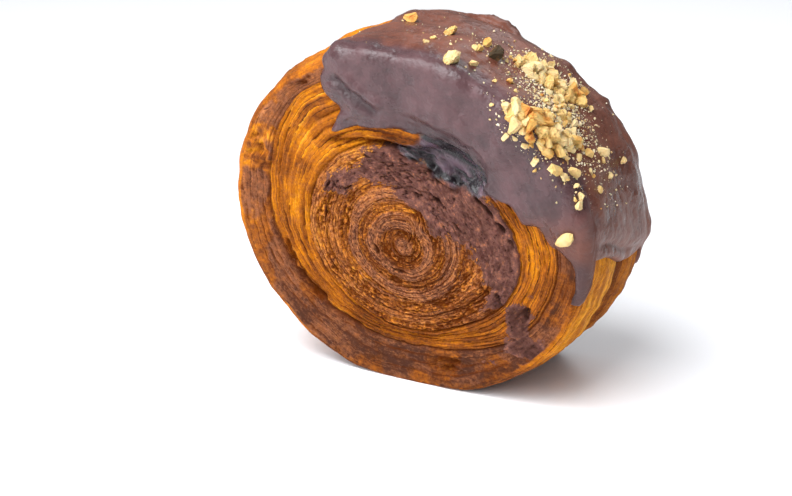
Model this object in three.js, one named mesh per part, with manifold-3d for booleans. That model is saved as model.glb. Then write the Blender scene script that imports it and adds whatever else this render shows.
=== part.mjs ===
// A rolled croissant: a strip of laminated dough wound into a round, baked standing on its rim,
// its upper right side dipped in chocolate and strewn with chopped nuts.
// Millimetres, +Z up. The spiral face looks along -Y. The origin is the middle of the small flat
// that the roll stands on.
import * as THREE from 'three';
import { mergeVertices } from 'three/addons/utils/BufferGeometryUtils.js';
import Module from 'manifold-3d';

const TAU = 2 * Math.PI;
const { degToRad, euclideanModulo, lerp, smoothstep } = THREE.MathUtils;

// The roll as a whole
const RIM_RADIUS = 52.2;
const HALF_WIDTH = 20;                // half of the roll's width, face to face
const SHOULDER = 2.2;                 // rounding between a face and the rim
const FLAT = HALF_WIDTH - SHOULDER;   // from the middle of the rim to where the rounding starts
const FOOT_DROP = 48.2;               // from the roll's middle down to the flat it stands on
const FOOT_ROUNDING = 2.4;            // rounds the change from the flat to the rim
const LEAN = degToRad(9.7);           // the faces lean forwards, the lines across the rim stay level

// Where the rim is pressed in or swollen, by how much at its front and at its back
const BUMPS = [
  { angle: degToRad(-50), spread: degToRad(38), front: -2.6, back: 1 },
  { angle: degToRad(130), spread: degToRad(30), front: 1, back: 3.2 },
  { angle: degToRad(195), spread: degToRad(25), front: 1.1, back: 0.8 },
];

// The spiral, counted in turns of the strip from its eye
const EYE = { x: -1, up: -4 };
const TURNS = 7;
const CORE_TURNS = 5;                 // the tight turns; those outside them have puffed up
const EYE_REACH = 0.07;               // shares of the way from the eye to the edge of the face
const CORE_PITCH = 0.1;
const PUFFED_PITCH = 0.245;
const TURN_ANGLE = degToRad(75);      // where each turn is counted from
const DRIFT = 0.22;                   // share of its pitch that a turn moves out evenly all the way round
const STEP_FROM = 0.9;                // the rest it steps out at once, in the last part of its way
const FACE_EDGE = 0.98;               // share past which a turn has run out at the edge of the face
const RING_FLATTENING = 4;            // how quickly the rings take on the flat of the foot outwards
const EYE_TIP = 0.4;                  // how far beside the eye the strip's inner end lies

// Shares by which turns lie further in or out than an even spiral, the most at the angle given: along the
// bottom the outermost turn spreads inwards, at the right the core is pushed outwards, and at the upper
// left the outermost turn thins out. Turns are shifted from the share from on, fully at full, not at 1.
const SHIFTS = [
  { most: -0.14, from: 0.55, full: 0.85, angle: degToRad(275), before: degToRad(62), after: degToRad(30) },
  { most: 0.07, from: 0.25, full: 0.6, angle: degToRad(-14), before: degToRad(32), after: degToRad(32) },
  { most: 0.135, from: 0.57, full: 0.8, angle: degToRad(118), before: degToRad(24), after: degToRad(34) },
];

// Relief of the faces, measured inwards
const EDGE_FADE = 0.9;                // share from which it fades out towards the edge
const GROOVE = 0.9;
const GROOVE_GROWTH = 0.2;            // for each turn outwards
const SUNK_TURN = { from: 4.9, full: 5, last: 5.9, to: 6 };
const SUNK_INNER = 0.5;               // the sunk turn slopes from this share of its depth
const SUNK_OUTER = 1.2;               // to this one at its outer edge
const HOLLOW = { x: 14, up: 23.5, length: 12, width: 6.5, heading: degToRad(150), floor: 0.35, depth: 5 };
const FRONT = { sign: -1, sunk: 1.9 };
const BACK = { sign: 1, sunk: 1.6 };

// The rim is two swollen bands with a crease between them
const SWELL = 0.8;
const RIM_PROFILE = [[-FLAT, 0], [-9, SWELL], [0.5, 0.3], [4.5, -1.8], [8.5, 0.2], [13, SWELL], [FLAT, 0]];

// Resolution
const STEPS = 54;
const ACROSS_TURN = [0, 0.14, 0.5, 0.86];
const SHOULDER_STEPS = [degToRad(30), degToRad(62)];

// The chocolate coat
const COAT = 2.2;
const COAT_EDGE = 0.7;
const COAT_GAP = 0.35;
const LIP_WIDTH = 4;                  // over which the coat rises from its edge to its thickness
const COAT_REACH = 14;                // about how far the coat comes in over a face
const DISH = { depth: 0.35, full: 0.6, none: 0.77 };
// Where it ends on the rim, in degrees, and the shares of the rim's width over which that end slants or
// hangs down as a drip
const COAT_RIGHT = { angle: 1, slant: 9.5, from: 0.1, to: 0.7 };
const COAT_LEFT = { angle: 113, slant: 7, from: 0.45, to: 0.75 };
const FRONT_DRIP = { length: 15, width: 0.045 };
const BACK_DRIP = { length: 9, width: 0.04 };
const COAT_STEPS = 44;
const LIP_SHARES = [0, 0.07, 0.2, 0.5, 0.8];
const COAT_ALONG = [-FLAT, -14.5, -8, 0, 8, FLAT];
const FRONT_LIP = [[48.2, -11.8], [48.6, -6], [48.4, -1], [46.8, 1.9], [44.3, 3.5], [41.9, 5], [38.8, 9],
  [33.8, 10.5], [30.3, 14.8], [26, 16.4], [23.5, 17.5], [24.5, 22], [18, 28], [6, 31], [-3, 31.3],
  [-11, 30.8], [-19, 28.5], [-16.5, 35], [-21, 40], [-21, 44.5]];
const BACK_LIP = [[48.5, -9], [40, 4], [31, 11], [25, 20], [14, 26], [4, 33], [-7, 34], [-16, 45.5]];

// Chopped nuts: where each patch of them lies, how far it spreads and the sizes in it, and those that lie
// apart, by angle, place along the rim and size
const NUT_PATCHES = [
  { angle: 58, along: 2, arc: 5, width: 4.5, count: 8, largest: 5, smallest: 3.2 },
  { angle: 51.5, along: 3.5, arc: 4, width: 4, count: 7, largest: 4.6, smallest: 3 },
  { angle: 46, along: 7.5, arc: 4, width: 4.5, count: 7, largest: 4.4, smallest: 3 },
  { angle: 50.5, along: -20, arc: 3.5, width: 3, count: 6, largest: 5, smallest: 3.2 },
  { angle: 45.5, along: -18.5, arc: 4, width: 4.5, count: 8, largest: 5, smallest: 3.2 },
  { angle: 39, along: -16.5, arc: 4, width: 5, count: 8, largest: 4.8, smallest: 3 },
  { angle: 36, along: -10.5, arc: 3, width: 3.5, count: 4, largest: 3.8, smallest: 3 },
];
const LOOSE_NUTS = [[95.8, 3.5, 3.8], [81.8, -0.7, 3.2], [73.1, -16.6, 5.2], [71.4, -0.2, 2.8],
  [67, -5, 4.6], [68.8, -13.2, 2.6], [48.5, -23, 5], [32.4, -22.5, 4], [29.6, -21, 3], [28.7, -16.9, 3],
  [30.9, -7.4, 3], [28.9, -1.4, 3.2], [22.9, 8.7, 2.4], [22.3, -19.7, 2.6], [20.5, -21, 3],
  [10.5, -27.2, 5.2]];
const GOLDEN_ANGLE = Math.PI * (3 - Math.sqrt(5));
const NUT_FLATNESS = 0.7;
const NUT_ROUGHNESS = 0.35;
const NUT_SUNK = 0.2;
const NUT_SHIFT = 0.5;                // share of a step by which a nut may leave its place in the patch

const CRUST = new THREE.MeshStandardMaterial({ name: 'crust', color: 0x9c5a24, roughness: 0.75 });
const CHOCOLATE = new THREE.MeshStandardMaterial({ name: 'chocolate', color: 0x4a332f, roughness: 0.4 });

const wasm = await Module();
wasm.setup();

function randomDraws(seed) {
  let state = seed;
  return () => {
    state = (state * 16807) % 2147483647;
    return state / 2147483647;
  };
}
const drawPlace = randomDraws(20);
const drawShape = randomDraws(77);

function wrapAngle(angle) {
  return euclideanModulo(angle + Math.PI, TAU) - Math.PI;
}

// From the roll's own directions (across the face, up the face, along its axis) to the leaning roll
function place(x, up, along) {
  const height = up + FOOT_DROP;
  return new THREE.Vector3(x, along - height * Math.sin(LEAN), height * Math.cos(LEAN));
}

// 1 at no distance, falling to almost nothing at twice the spread
function bell(distance, spread) {
  return Math.exp(-((distance / spread) ** 2));
}

function bumpAt(bump, angle, along) {
  const most = lerp(bump.front, bump.back, 0.5 + along / (2 * HALF_WIDTH));
  return most * bell(wrapAngle(angle - bump.angle), bump.spread);
}

// The smaller of two lengths, with a rounded change from one to the other
function softMin(a, b, rounding) {
  const near = Math.max(0, rounding - Math.abs(a - b)) / rounding;
  return Math.min(a, b) - (rounding * near ** 2) / 4;
}

// Distance from the roll's middle to its outline, which is cut off at the foot; flatness is 1 for the
// full cut and 0 for none
function outline(angle, along, reach, flatness = 1) {
  const round = BUMPS.reduce((radius, bump) => radius + bumpAt(bump, angle, along), RIM_RADIUS + reach);
  const down = -Math.sin(angle);
  if (down <= 0) return round;
  return lerp(round, softMin(round, FOOT_DROP / down, FOOT_ROUNDING), flatness);
}

// The edge that a ring of the spiral follows: the face's own edge for the outermost, round for the inner
function ringEdge(side, angle, share) {
  return outline(angle, side.sign * HALF_WIDTH, -SHOULDER, share ** RING_FLATTENING);
}

function rimPoint(angle, along, reach) {
  const radius = outline(angle, along, reach);
  return place(radius * Math.cos(angle), radius * Math.sin(angle), along);
}

// The rounded edge between a face and the rim; turned is 0 at the face
function shoulderPoint(side, angle, turned, lift) {
  const radius = SHOULDER + lift;
  const along = FLAT + radius * Math.cos(turned);
  return rimPoint(angle, side.sign * along, radius * Math.sin(turned) - SHOULDER);
}

// How far a turn has moved outwards after a part of its way round
function advance(part) {
  return DRIFT * part + (1 - DRIFT) * smoothstep(part, STEP_FROM, 1);
}

function shiftAt({ most, angle, before, after, from, full }, share, heading) {
  const aside = wrapAngle(heading - angle);
  const shifted = smoothstep(share, from, full) * (1 - Math.max(0, (share - full) / (1 - full)));
  return most * bell(aside, aside < 0 ? before : after) * shifted;
}

// Share of the way from the eye to the edge, after so many turns
function shareAt(turns, angle) {
  const puffed = Math.max(0, turns - CORE_TURNS) * (PUFFED_PITCH - CORE_PITCH);
  const share = EYE_REACH + CORE_PITCH * turns + puffed;
  if (share > FACE_EDGE) return 1;
  return SHIFTS.reduce((shifted, shift) => shifted + shiftAt(shift, share, angle), share);
}

// Depth of the strip's edge below the face; run counts turns along it and across goes over its width
function sinkAt(side, run, across) {
  const { from, full, last, to } = SUNK_TURN;
  const sunk = side.sunk * smoothstep(run, from, full) * (1 - smoothstep(run, last, to));
  return sunk * lerp(SUNK_INNER, SUNK_OUTER, across);
}

// How much of a place belongs to the hollow that is left where a turn steps outwards
function hollowShare(x, up) {
  const { length, width, heading, floor } = HOLLOW;
  const aside = { x: x - HOLLOW.x, up: up - HOLLOW.up };
  const lengthwise = (aside.x * Math.cos(heading) + aside.up * Math.sin(heading)) / length;
  const crosswise = (aside.up * Math.cos(heading) - aside.x * Math.sin(heading)) / width;
  return 1 - smoothstep(Math.hypot(lengthwise, crosswise), floor, 1);
}

function facePoint(side, turn, across, part) {
  const run = turn + part;
  const angle = TURN_ANGLE + TAU * part;
  const share = shareAt(turn + across + advance(part), angle);
  const edge = ringEdge(side, angle, share);
  const x = lerp(EYE.x, edge * Math.cos(angle), share);
  const up = lerp(EYE.up, edge * Math.sin(angle), share);
  let depth = sinkAt(side, run, across);
  if (across === 0) {
    depth = Math.max(depth, sinkAt(side, run - 1, 1)) + GROOVE + GROOVE_GROWTH * run;
  }
  if (side === FRONT) depth = lerp(depth, HOLLOW.depth, hollowShare(x, up));
  depth *= 1 - smoothstep(share, EDGE_FADE, 1);
  return place(x, up, side.sign * (HALF_WIDTH - depth));
}

// A closed geometry with shared points merged, empty triangles dropped and its faces pointing out
function closedGeometry(points, triangles) {
  const loose = new THREE.BufferGeometry().setFromPoints(points);
  loose.setIndex(triangles.flat());
  const merged = mergeVertices(loose, 1e-3);
  const corner = merged.index.array;
  const kept = [];
  for (let i = 0; i < corner.length; i += 3) {
    const [a, b, c] = [corner[i], corner[i + 1], corner[i + 2]];
    if (a !== b && b !== c && c !== a) kept.push(a, b, c);
  }
  merged.setIndex(enclosedVolume(merged, kept) < 0 ? kept.reverse() : kept);
  return merged;
}

function enclosedVolume(geometry, corners) {
  const spots = geometry.getAttribute('position');
  const [a, b, c] = [new THREE.Vector3(), new THREE.Vector3(), new THREE.Vector3()];
  let volume = 0;
  for (let i = 0; i < corners.length; i += 3) {
    a.fromBufferAttribute(spots, corners[i]);
    b.fromBufferAttribute(spots, corners[i + 1]);
    c.fromBufferAttribute(spots, corners[i + 2]);
    volume += a.dot(b.cross(c)) / 6;
  }
  return volume;
}

// Two triangles for each cell of a grid of points, numbered row by row from first
function gridTriangles(rows, columns, first = 0) {
  const triangles = [];
  for (let row = 0; row + 1 < rows; row += 1) {
    for (let column = 0; column + 1 < columns; column += 1) {
      const a = first + row * columns + column;
      const b = a + columns;
      triangles.push([a, b, b + 1], [a, b + 1, a + 1]);
    }
  }
  return triangles;
}

// Rows of the roll's surface, from the eye of one face over the rim to the eye of the other
function rollRows() {
  const front = [];
  const back = [];
  for (let turn = 0; turn < TURNS; turn += 1) {
    for (const across of ACROSS_TURN) {
      front.push((part) => facePoint(FRONT, turn, across, part));
      back.unshift((part) => facePoint(BACK, turn, across, part));
    }
  }
  const angleAt = (part) => TURN_ANGLE + TAU * part;
  const rim = [(part) => shoulderPoint(FRONT, angleAt(part), 0, 0)];
  for (const turned of SHOULDER_STEPS) rim.push((part) => shoulderPoint(FRONT, angleAt(part), turned, 0));
  for (const [along, reach] of RIM_PROFILE) rim.push((part) => rimPoint(angleAt(part), along, reach));
  for (const turned of SHOULDER_STEPS.toReversed()) {
    rim.push((part) => shoulderPoint(BACK, angleAt(part), turned, 0));
  }
  rim.push((part) => shoulderPoint(BACK, angleAt(part), 0, 0));
  return [...front, ...rim, ...back];
}

// The pastry: a turn's last column falls on the next turn's first, so the rows close into a spiral,
// and a fan of triangles closes each eye
function pastryGeometry() {
  const rows = rollRows();
  const columns = STEPS + 1;
  const points = [];
  for (const row of rows) {
    for (let step = 0; step <= STEPS; step += 1) points.push(row(step / STEPS));
  }
  const triangles = gridTriangles(rows.length, columns);
  const lastRow = rows.length - 1;
  const perTurn = ACROSS_TURN.length;
  const besideEye = EYE_REACH * RIM_RADIUS * EYE_TIP;
  for (const [side, first, inwards] of [[FRONT, 0, 1], [BACK, lastRow, -1]]) {
    const heading = TURN_ANGLE - TAU / 4;
    const apex = points.length;
    const x = EYE.x + besideEye * Math.cos(heading);
    const up = EYE.up + besideEye * Math.sin(heading);
    points.push(place(x, up, side.sign * HALF_WIDTH));
    const loop = [];
    for (let step = 0; step <= STEPS; step += 1) loop.push(first * columns + step);
    for (let row = perTurn - 1; row >= 0; row -= 1) loop.push((first + inwards * row) * columns);
    for (let i = 0; i + 1 < loop.length; i += 1) {
      const edge = inwards > 0 ? [loop[i], loop[i + 1]] : [loop[i + 1], loop[i]];
      triangles.push([apex, ...edge]);
    }
  }
  return closedGeometry(points, triangles);
}

// Where the coat ends on the rim, low on the right and high on the left; along is 0 at the front edge
// and 1 at the back
function coatAngle(share, along) {
  const endAt = (end) => end.angle - end.slant * smoothstep(along, end.from, end.to);
  const frontDrip = FRONT_DRIP.length * bell(along, FRONT_DRIP.width);
  const backDrip = BACK_DRIP.length * bell(1 - along, BACK_DRIP.width);
  return degToRad(lerp(endAt(COAT_RIGHT) - frontDrip - backDrip, endAt(COAT_LEFT), share));
}

// The coat dips a little over the sunk turn, to a share of its depth
function coatDish(side, x, up) {
  const share = Math.hypot(x, up) / RIM_RADIUS;
  return DISH.depth * side.sunk * (1 - smoothstep(share, DISH.full, DISH.none));
}

function coatOnFace(side, lip, share, inward, lift) {
  const edgeAlong = side === FRONT ? 0 : 1;
  const angle = coatAngle(share, edgeAlong);
  const edge = ringEdge(side, angle, 1);
  const start = lip.getPointAt(share);
  const x = lerp(start.x, edge * Math.cos(angle), inward);
  const up = lerp(start.y, edge * Math.sin(angle), inward);
  return place(x, up, side.sign * (HALF_WIDTH - coatDish(side, x, up) + lift));
}

// Rows of the coat, from its lip on the front face over the rim to its lip on the back, each with its
// distance from the nearer lip
function coatRows(frontLip, backLip) {
  const front = [];
  const back = [];
  for (const inward of LIP_SHARES) {
    const fromLip = inward * COAT_REACH;
    front.push({ fromLip, spot: (share, lift) => coatOnFace(FRONT, frontLip, share, inward, lift) });
    back.unshift({ fromLip, spot: (share, lift) => coatOnFace(BACK, backLip, share, inward, lift) });
  }
  const rim = [];
  const shoulder = (side, turned) => {
    const along = side === FRONT ? 0 : 1;
    const spot = (share, lift) => shoulderPoint(side, coatAngle(share, along), turned, lift);
    rim.push({ fromLip: COAT_REACH, spot });
  };
  for (const turned of [0, ...SHOULDER_STEPS]) shoulder(FRONT, turned);
  for (const along of COAT_ALONG) {
    const across = 0.5 + along / (2 * HALF_WIDTH);
    const spot = (share, lift) => rimPoint(coatAngle(share, across), along, SWELL + lift);
    rim.push({ fromLip: COAT_REACH, spot });
  }
  for (const turned of [...SHOULDER_STEPS.toReversed(), 0]) shoulder(BACK, turned);
  return [...front, ...rim, ...back];
}

function coatGeometry() {
  const curve = (spots) => new THREE.SplineCurve(spots.map(([x, up]) => new THREE.Vector2(x, up)));
  const rows = coatRows(curve(FRONT_LIP), curve(BACK_LIP));
  const columns = COAT_STEPS + 1;
  const arcStep = RIM_RADIUS * (coatAngle(1, 0.5) - coatAngle(0, 0.5)) / COAT_STEPS;
  const outer = [];
  const inner = [];
  for (const { fromLip, spot } of rows) {
    for (let step = 0; step <= COAT_STEPS; step += 1) {
      const fromSide = arcStep * Math.min(step, COAT_STEPS - step);
      const risen = 1 - Math.max(0, 1 - Math.min(fromLip, fromSide) / LIP_WIDTH);
      const thick = COAT_EDGE + (COAT - COAT_EDGE) * Math.sqrt(1 - (1 - risen) ** 2);
      outer.push(spot(step / COAT_STEPS, COAT_GAP + thick));
      inner.push(spot(step / COAT_STEPS, COAT_GAP));
    }
  }
  const triangles = gridTriangles(rows.length, columns);
  const inside = gridTriangles(rows.length, columns, outer.length);
  for (const [a, b, c] of inside) triangles.push([a, c, b]);
  const lastRow = (rows.length - 1) * columns;
  const rim = [];
  for (let step = 0; step < COAT_STEPS; step += 1) rim.push(step);
  for (let row = 0; row < rows.length - 1; row += 1) rim.push(row * columns + COAT_STEPS);
  for (let step = COAT_STEPS; step > 0; step -= 1) rim.push(lastRow + step);
  for (let row = rows.length - 1; row > 0; row -= 1) rim.push(row * columns);
  rim.forEach((a, i) => {
    const b = rim[(i + 1) % rim.length];
    const under = outer.length;
    triangles.push([a, b, b + under], [a, b + under, a + under]);
  });
  return closedGeometry([...outer, ...inner], triangles);
}

// A spot on the top of the coat and its outward direction; along runs over the rim from its middle and,
// past the rim's edge, round the front shoulder and in over the face
function coatSpot(angle, along) {
  const lift = COAT_GAP + COAT;
  const arc = (SHOULDER + lift) * TAU / 4;
  const past = Math.max(0, -FLAT - along);
  const turned = (TAU / 4) * (1 - Math.min(1, past / arc));
  const inward = Math.max(0, past - arc);
  const outwards = Math.sin(turned);
  const out = place(outwards * Math.cos(angle), outwards * Math.sin(angle), -Math.cos(turned));
  out.sub(place(0, 0, 0));
  let spot = rimPoint(angle, along, SWELL + lift);
  if (past > 0) spot = shoulderPoint(FRONT, angle, turned, lift);
  if (inward > 0) spot = rimPoint(angle, -HALF_WIDTH - lift, -SHOULDER - inward);
  return { spot, out };
}

// An uneven chip: an icosahedron with its corners pushed about, flattened and turned at random
function nutGeometry(size, { spot, out }) {
  const chip = new THREE.IcosahedronGeometry(size / 2, 0);
  chip.deleteAttribute('normal');
  chip.deleteAttribute('uv');
  const merged = mergeVertices(chip);
  const corners = merged.getAttribute('position');
  for (let i = 0; i < corners.count; i += 1) {
    const swell = 1 + NUT_ROUGHNESS * (drawShape() - 0.5) * 2;
    corners.setXYZ(i, corners.getX(i) * swell, corners.getY(i) * swell, corners.getZ(i) * swell);
  }
  merged.rotateX(TAU * drawShape());
  merged.scale(1, lerp(NUT_FLATNESS, 1, drawShape()), NUT_FLATNESS);
  merged.rotateZ(TAU * drawShape());
  merged.applyQuaternion(new THREE.Quaternion().setFromUnitVectors(new THREE.Vector3(0, 0, 1), out));
  const centre = spot.clone().addScaledVector(out, size * (0.5 * NUT_FLATNESS - NUT_SUNK));
  merged.translate(centre.x, centre.y, centre.z);
  return merged;
}

// Each patch is filled from its middle outwards as the seeds of a sunflower are, the largest first
function nutGeometries() {
  const nuts = [];
  for (const [angle, along, size] of LOOSE_NUTS) {
    nuts.push(nutGeometry(size, coatSpot(degToRad(angle), along)));
  }
  for (const { angle, along, arc, width, count, largest, smallest } of NUT_PATCHES) {
    for (let i = 0; i < count; i += 1) {
      const spread = Math.sqrt((i + NUT_SHIFT * drawPlace()) / count);
      const heading = i * GOLDEN_ANGLE;
      const aroundRim = degToRad(angle) + (arc / RIM_RADIUS) * spread * Math.cos(heading);
      const overRim = along + width * spread * Math.sin(heading);
      const size = lerp(largest, smallest, i / (count - 1));
      nuts.push(nutGeometry(size, coatSpot(aroundRim, overRim)));
    }
  }
  return nuts;
}

function toSolid(geometry) {
  const vertProperties = new Float32Array(geometry.getAttribute('position').array);
  const triVerts = new Uint32Array(geometry.index.array);
  return new wasm.Manifold(new wasm.Mesh({ numProp: 3, vertProperties, triVerts }));
}

function toGeometry(solid) {
  const { vertProperties, triVerts } = solid.getMesh();
  const geometry = new THREE.BufferGeometry();
  geometry.setAttribute('position', new THREE.BufferAttribute(vertProperties, 3));
  geometry.setIndex(new THREE.BufferAttribute(triVerts, 1));
  return geometry;
}

function namedMesh(name, geometry, material) {
  const mesh = new THREE.Mesh(geometry, material);
  mesh.name = name;
  return mesh;
}

// The coat and its nuts as one solid. The small gaps that nuts leave under them are shells of their own;
// only the largest shell, the outer one, is kept, so those gaps are filled.
function coatSolid() {
  let solid = toSolid(coatGeometry());
  for (const nut of nutGeometries()) solid = solid.add(toSolid(nut));
  const shells = solid.decompose();
  return shells.reduce((largest, shell) => (shell.volume() > largest.volume() ? shell : largest));
}

const group = new THREE.Group();
group.add(namedMesh('pastry', pastryGeometry(), CRUST));
group.add(namedMesh('chocolate_coat', toGeometry(coatSolid()), CHOCOLATE));

export default group;
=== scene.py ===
# %% [markdown]
# # A rolled croissant with chocolate and nuts
# The real thing is a long strip of buttered, folded dough that is wound up like a tape, stood on
# its rim in the oven and, when cool, dipped at its upper right in chocolate and strewn with nuts.
# The packed solids give its size and main shape. This lesson models the surfaces over them: the
# flaky layers of the strip, the chocolate that has run over them, and the chopped nuts.

# %% Load the solids as a fixed frame
import math
import random
from typing import NamedTuple
import bpy
import numpy as np
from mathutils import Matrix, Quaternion, Vector
from mathutils.bvhtree import BVHTree


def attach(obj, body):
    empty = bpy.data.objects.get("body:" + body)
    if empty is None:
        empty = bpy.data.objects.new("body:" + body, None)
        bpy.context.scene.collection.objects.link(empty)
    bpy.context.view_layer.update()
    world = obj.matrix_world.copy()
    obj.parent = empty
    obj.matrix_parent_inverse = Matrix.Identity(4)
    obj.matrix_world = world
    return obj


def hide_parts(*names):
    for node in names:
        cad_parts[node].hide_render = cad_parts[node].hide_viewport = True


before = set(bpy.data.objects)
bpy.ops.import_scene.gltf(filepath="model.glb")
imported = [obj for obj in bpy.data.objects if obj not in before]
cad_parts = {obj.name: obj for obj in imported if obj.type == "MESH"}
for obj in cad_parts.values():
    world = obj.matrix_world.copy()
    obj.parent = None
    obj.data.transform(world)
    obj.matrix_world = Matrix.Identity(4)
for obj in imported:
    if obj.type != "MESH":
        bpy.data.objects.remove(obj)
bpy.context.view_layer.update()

# %% [markdown]
# ## Camera, light and floor
# The picture was taken with a long lens from a little above, well round to the right. A long lens
# keeps the round face from bulging. The light is a studio's: a wide lamp above and in front draws a
# bright line along the chocolate's front edge, a large one in front fills the face, a weak one
# behind gives the top its sheen, and a small one at the left puts a glint on the chocolate's ridge.
# The room is darker at the horizon, so that the rim stays brown.

# %% Camera
MM = 0.001
AZIMUTH = math.radians(26.844)
ELEVATION = math.radians(22)
DISTANCE = 498.1 * MM
TARGET = Vector((-13.0, -8.1, 34.2)) * MM
LENS, SENSOR = 80, 36
NEAREST_SEEN = 0.01


def aim(thing, direction):
    """Turns a camera or a lamp to look in a direction."""
    thing.rotation_mode = "QUATERNION"
    thing.rotation_quaternion = direction.to_track_quat("-Z", "Y")


back = Vector((math.sin(AZIMUTH) * math.cos(ELEVATION),
               -math.cos(AZIMUTH) * math.cos(ELEVATION),
               math.sin(ELEVATION)))
bpy.ops.object.camera_add(location=TARGET + back * DISTANCE)
camera = bpy.context.object
aim(camera, -back)
camera.data.lens = LENS
camera.data.sensor_width = SENSOR
camera.data.clip_start = NEAREST_SEEN
bpy.context.scene.camera = camera
print("camera at", [round(value, 3) for value in camera.location])

# %% Lamps
DAYLIGHT = (0.95, 0.97, 1.0)
LAMPS = {
    "ceiling_lamp": {"place": (-0.08, -0.3, 0.6), "power": 5.5, "width": 0.55, "depth": 0.3},
    "front_lamp": {"place": (-0.3, -0.75, 0.4), "power": 5.0, "width": 0.55, "depth": 0.55},
    "back_lamp": {"place": (0.05, 0.5, 0.55), "power": 1.3, "width": 0.45, "depth": 0.25},
    "side_lamp": {"place": (-0.42, -0.22, 0.5), "power": 0.7, "width": 0.1, "depth": 0.1},
}

for name, settings in LAMPS.items():
    bpy.ops.object.light_add(type="AREA", location=settings["place"])
    lamp = bpy.context.object
    lamp.name = name
    lamp.data.energy = settings["power"]
    lamp.data.shape = "RECTANGLE"
    lamp.data.size = settings["width"]
    lamp.data.size_y = settings["depth"]
    lamp.data.color = DAYLIGHT
    aim(lamp, TARGET - Vector(settings["place"]))
print("lamps:", list(LAMPS))

# %% Room
HORIZON, ZENITH = 0.22, 0.5

world = bpy.data.worlds.new("white_room")
world.use_nodes = True
room = world.node_tree
looking = room.nodes.new("ShaderNodeTexCoord")
parts = room.nodes.new("ShaderNodeSeparateXYZ")
fade = room.nodes.new("ShaderNodeMapRange")
room.links.new(looking.outputs["Generated"], parts.inputs[0])
room.links.new(parts.outputs["Z"], fade.inputs["Value"])
fade.inputs["To Min"].default_value = HORIZON
fade.inputs["To Max"].default_value = ZENITH
room.links.new(fade.outputs["Result"], room.nodes["Background"].inputs["Strength"])
room.nodes["Background"].inputs["Color"].default_value = (*DAYLIGHT, 1)
bpy.context.scene.world = world
bpy.context.scene.view_settings.view_transform = "Standard"
print("room from", HORIZON, "at the horizon to", ZENITH, "overhead")

# %% Floor
FLOOR_SIZE = 6.0
FLOOR_COLOUR = (0.92, 0.92, 0.93, 1)
FLOOR_ROUGHNESS = 0.6

bpy.ops.object.select_all(action="DESELECT")
bpy.ops.mesh.primitive_plane_add(size=FLOOR_SIZE)
floor = bpy.context.object
floor.name = "floor"
paint = bpy.data.materials.new("pale_floor")
paint.use_nodes = True
paint.node_tree.nodes["Principled BSDF"].inputs["Base Color"].default_value = FLOOR_COLOUR
paint.node_tree.nodes["Principled BSDF"].inputs["Roughness"].default_value = FLOOR_ROUGHNESS
floor.data.materials.append(paint)
print("floor", FLOOR_SIZE, "m across")

# %% [markdown]
# ## Unevenness
# Baked dough has no straight line in it. Smooth random hills, worked out from whole-numbered cells,
# give the same unevenness each time the lesson is run, and they can be stretched along the strip.
# A seed, which is a whole number, picks one landscape out of many.

# %% Steps, ridges and smooth random hills
WORD = 0xFFFFFFFF


def smooth(value, low, high):
    """0 up to the low value, 1 from the high one, and a soft step between them."""
    share = np.clip((value - low) / (high - low), 0, 1)
    return share * share * (3 - 2 * share)


def mix(low, high, share):
    return low + (high - low) * share


def ridge(value, middle, width):
    """1 at the middle, falling to nothing over about twice the width."""
    return np.exp(-((value - middle) / width) ** 2)


def cell_value(column, row, seed):
    """A value from 0 to 1 for a cell; the large factors scramble the cell's numbers."""
    mixed = (column.astype(np.int64) * 374761393 + row.astype(np.int64) * 668265263 + seed * 974634777)
    mixed = mixed & WORD
    mixed = ((mixed ^ (mixed >> 13)) * 1103515245) & WORD
    mixed = ((mixed ^ (mixed >> 15)) * 668265263) & WORD
    return (mixed ^ (mixed >> 16)) / WORD


def hills(x, y, seed):
    """Values from 0 to 1 that change smoothly over about one unit of x and y."""
    x, y = np.broadcast_arrays(np.asarray(x, float), np.asarray(y, float))
    column, row = np.floor(x), np.floor(y)
    right, upper = smooth(x - column, 0, 1), smooth(y - row, 0, 1)
    low = mix(cell_value(column, row, seed), cell_value(column + 1, row, seed), right)
    high = mix(cell_value(column, row + 1, seed), cell_value(column + 1, row + 1, seed), right)
    return mix(low, high, upper)


def rough_hills(x, y, seed, octaves):
    """Hills with smaller hills on them, centred on 0."""
    total = 0.0
    for octave in range(octaves):
        total = total + (hills(x * 2 ** octave, y * 2 ** octave, seed + octave) - 0.5) / 2 ** octave
    return total


class Lumps(NamedTuple):
    """Rough hills of a height and a size, with a number of layers of ever finer ones."""
    height: float
    size_x: float
    size_y: float
    seed: int
    octaves: int

    def at(self, x, y):
        return self.height * rough_hills(x / self.size_x, y / self.size_y, self.seed, self.octaves)


class Patches(NamedTuple):
    """Patches of a size, which begin and are full where the hills reach the two given heights."""
    size_x: float
    size_y: float
    seed: int
    begin: float
    full: float

    def at(self, x, y):
        return smooth(hills(x / self.size_x, y / self.size_y, self.seed), self.begin, self.full)


print("hills at a few places:", np.round(hills(np.arange(4) * 0.7, 0.2, 5), 2))

# %% [markdown]
# ## The shape of the roll
# A wound strip can be swept along a spiral curve, but then each turn is a loose ribbon. Here the
# whole skin is one sheet of points: a row runs once round the roll, and after one round it lands
# on the row that started a turn further out. The functions below say where any point of that
# sheet lies. Sizes are in millimetres, across the face (x), up the face and along the axis.

# %% Sizes of the roll
RIM_RADIUS = 52.2
HALF_WIDTH = 20.0
SHOULDER = 2.2
FLAT = HALF_WIDTH - SHOULDER
FOOT_DROP = 48.2
FOOT_ROUNDING = 2.4
LEAN = math.radians(9.7)
SWELL = 0.8


def wrap(angle):
    return np.mod(angle + np.pi, 2 * np.pi) - np.pi


def place(x, up, along):
    """Points in metres for places on the leaning roll."""
    height = up + FOOT_DROP
    return np.stack([x, along - height * math.sin(LEAN), height * math.cos(LEAN)], -1) * MM


def placed(spots):
    return place(spots[..., 0], spots[..., 1], spots[..., 2])


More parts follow.
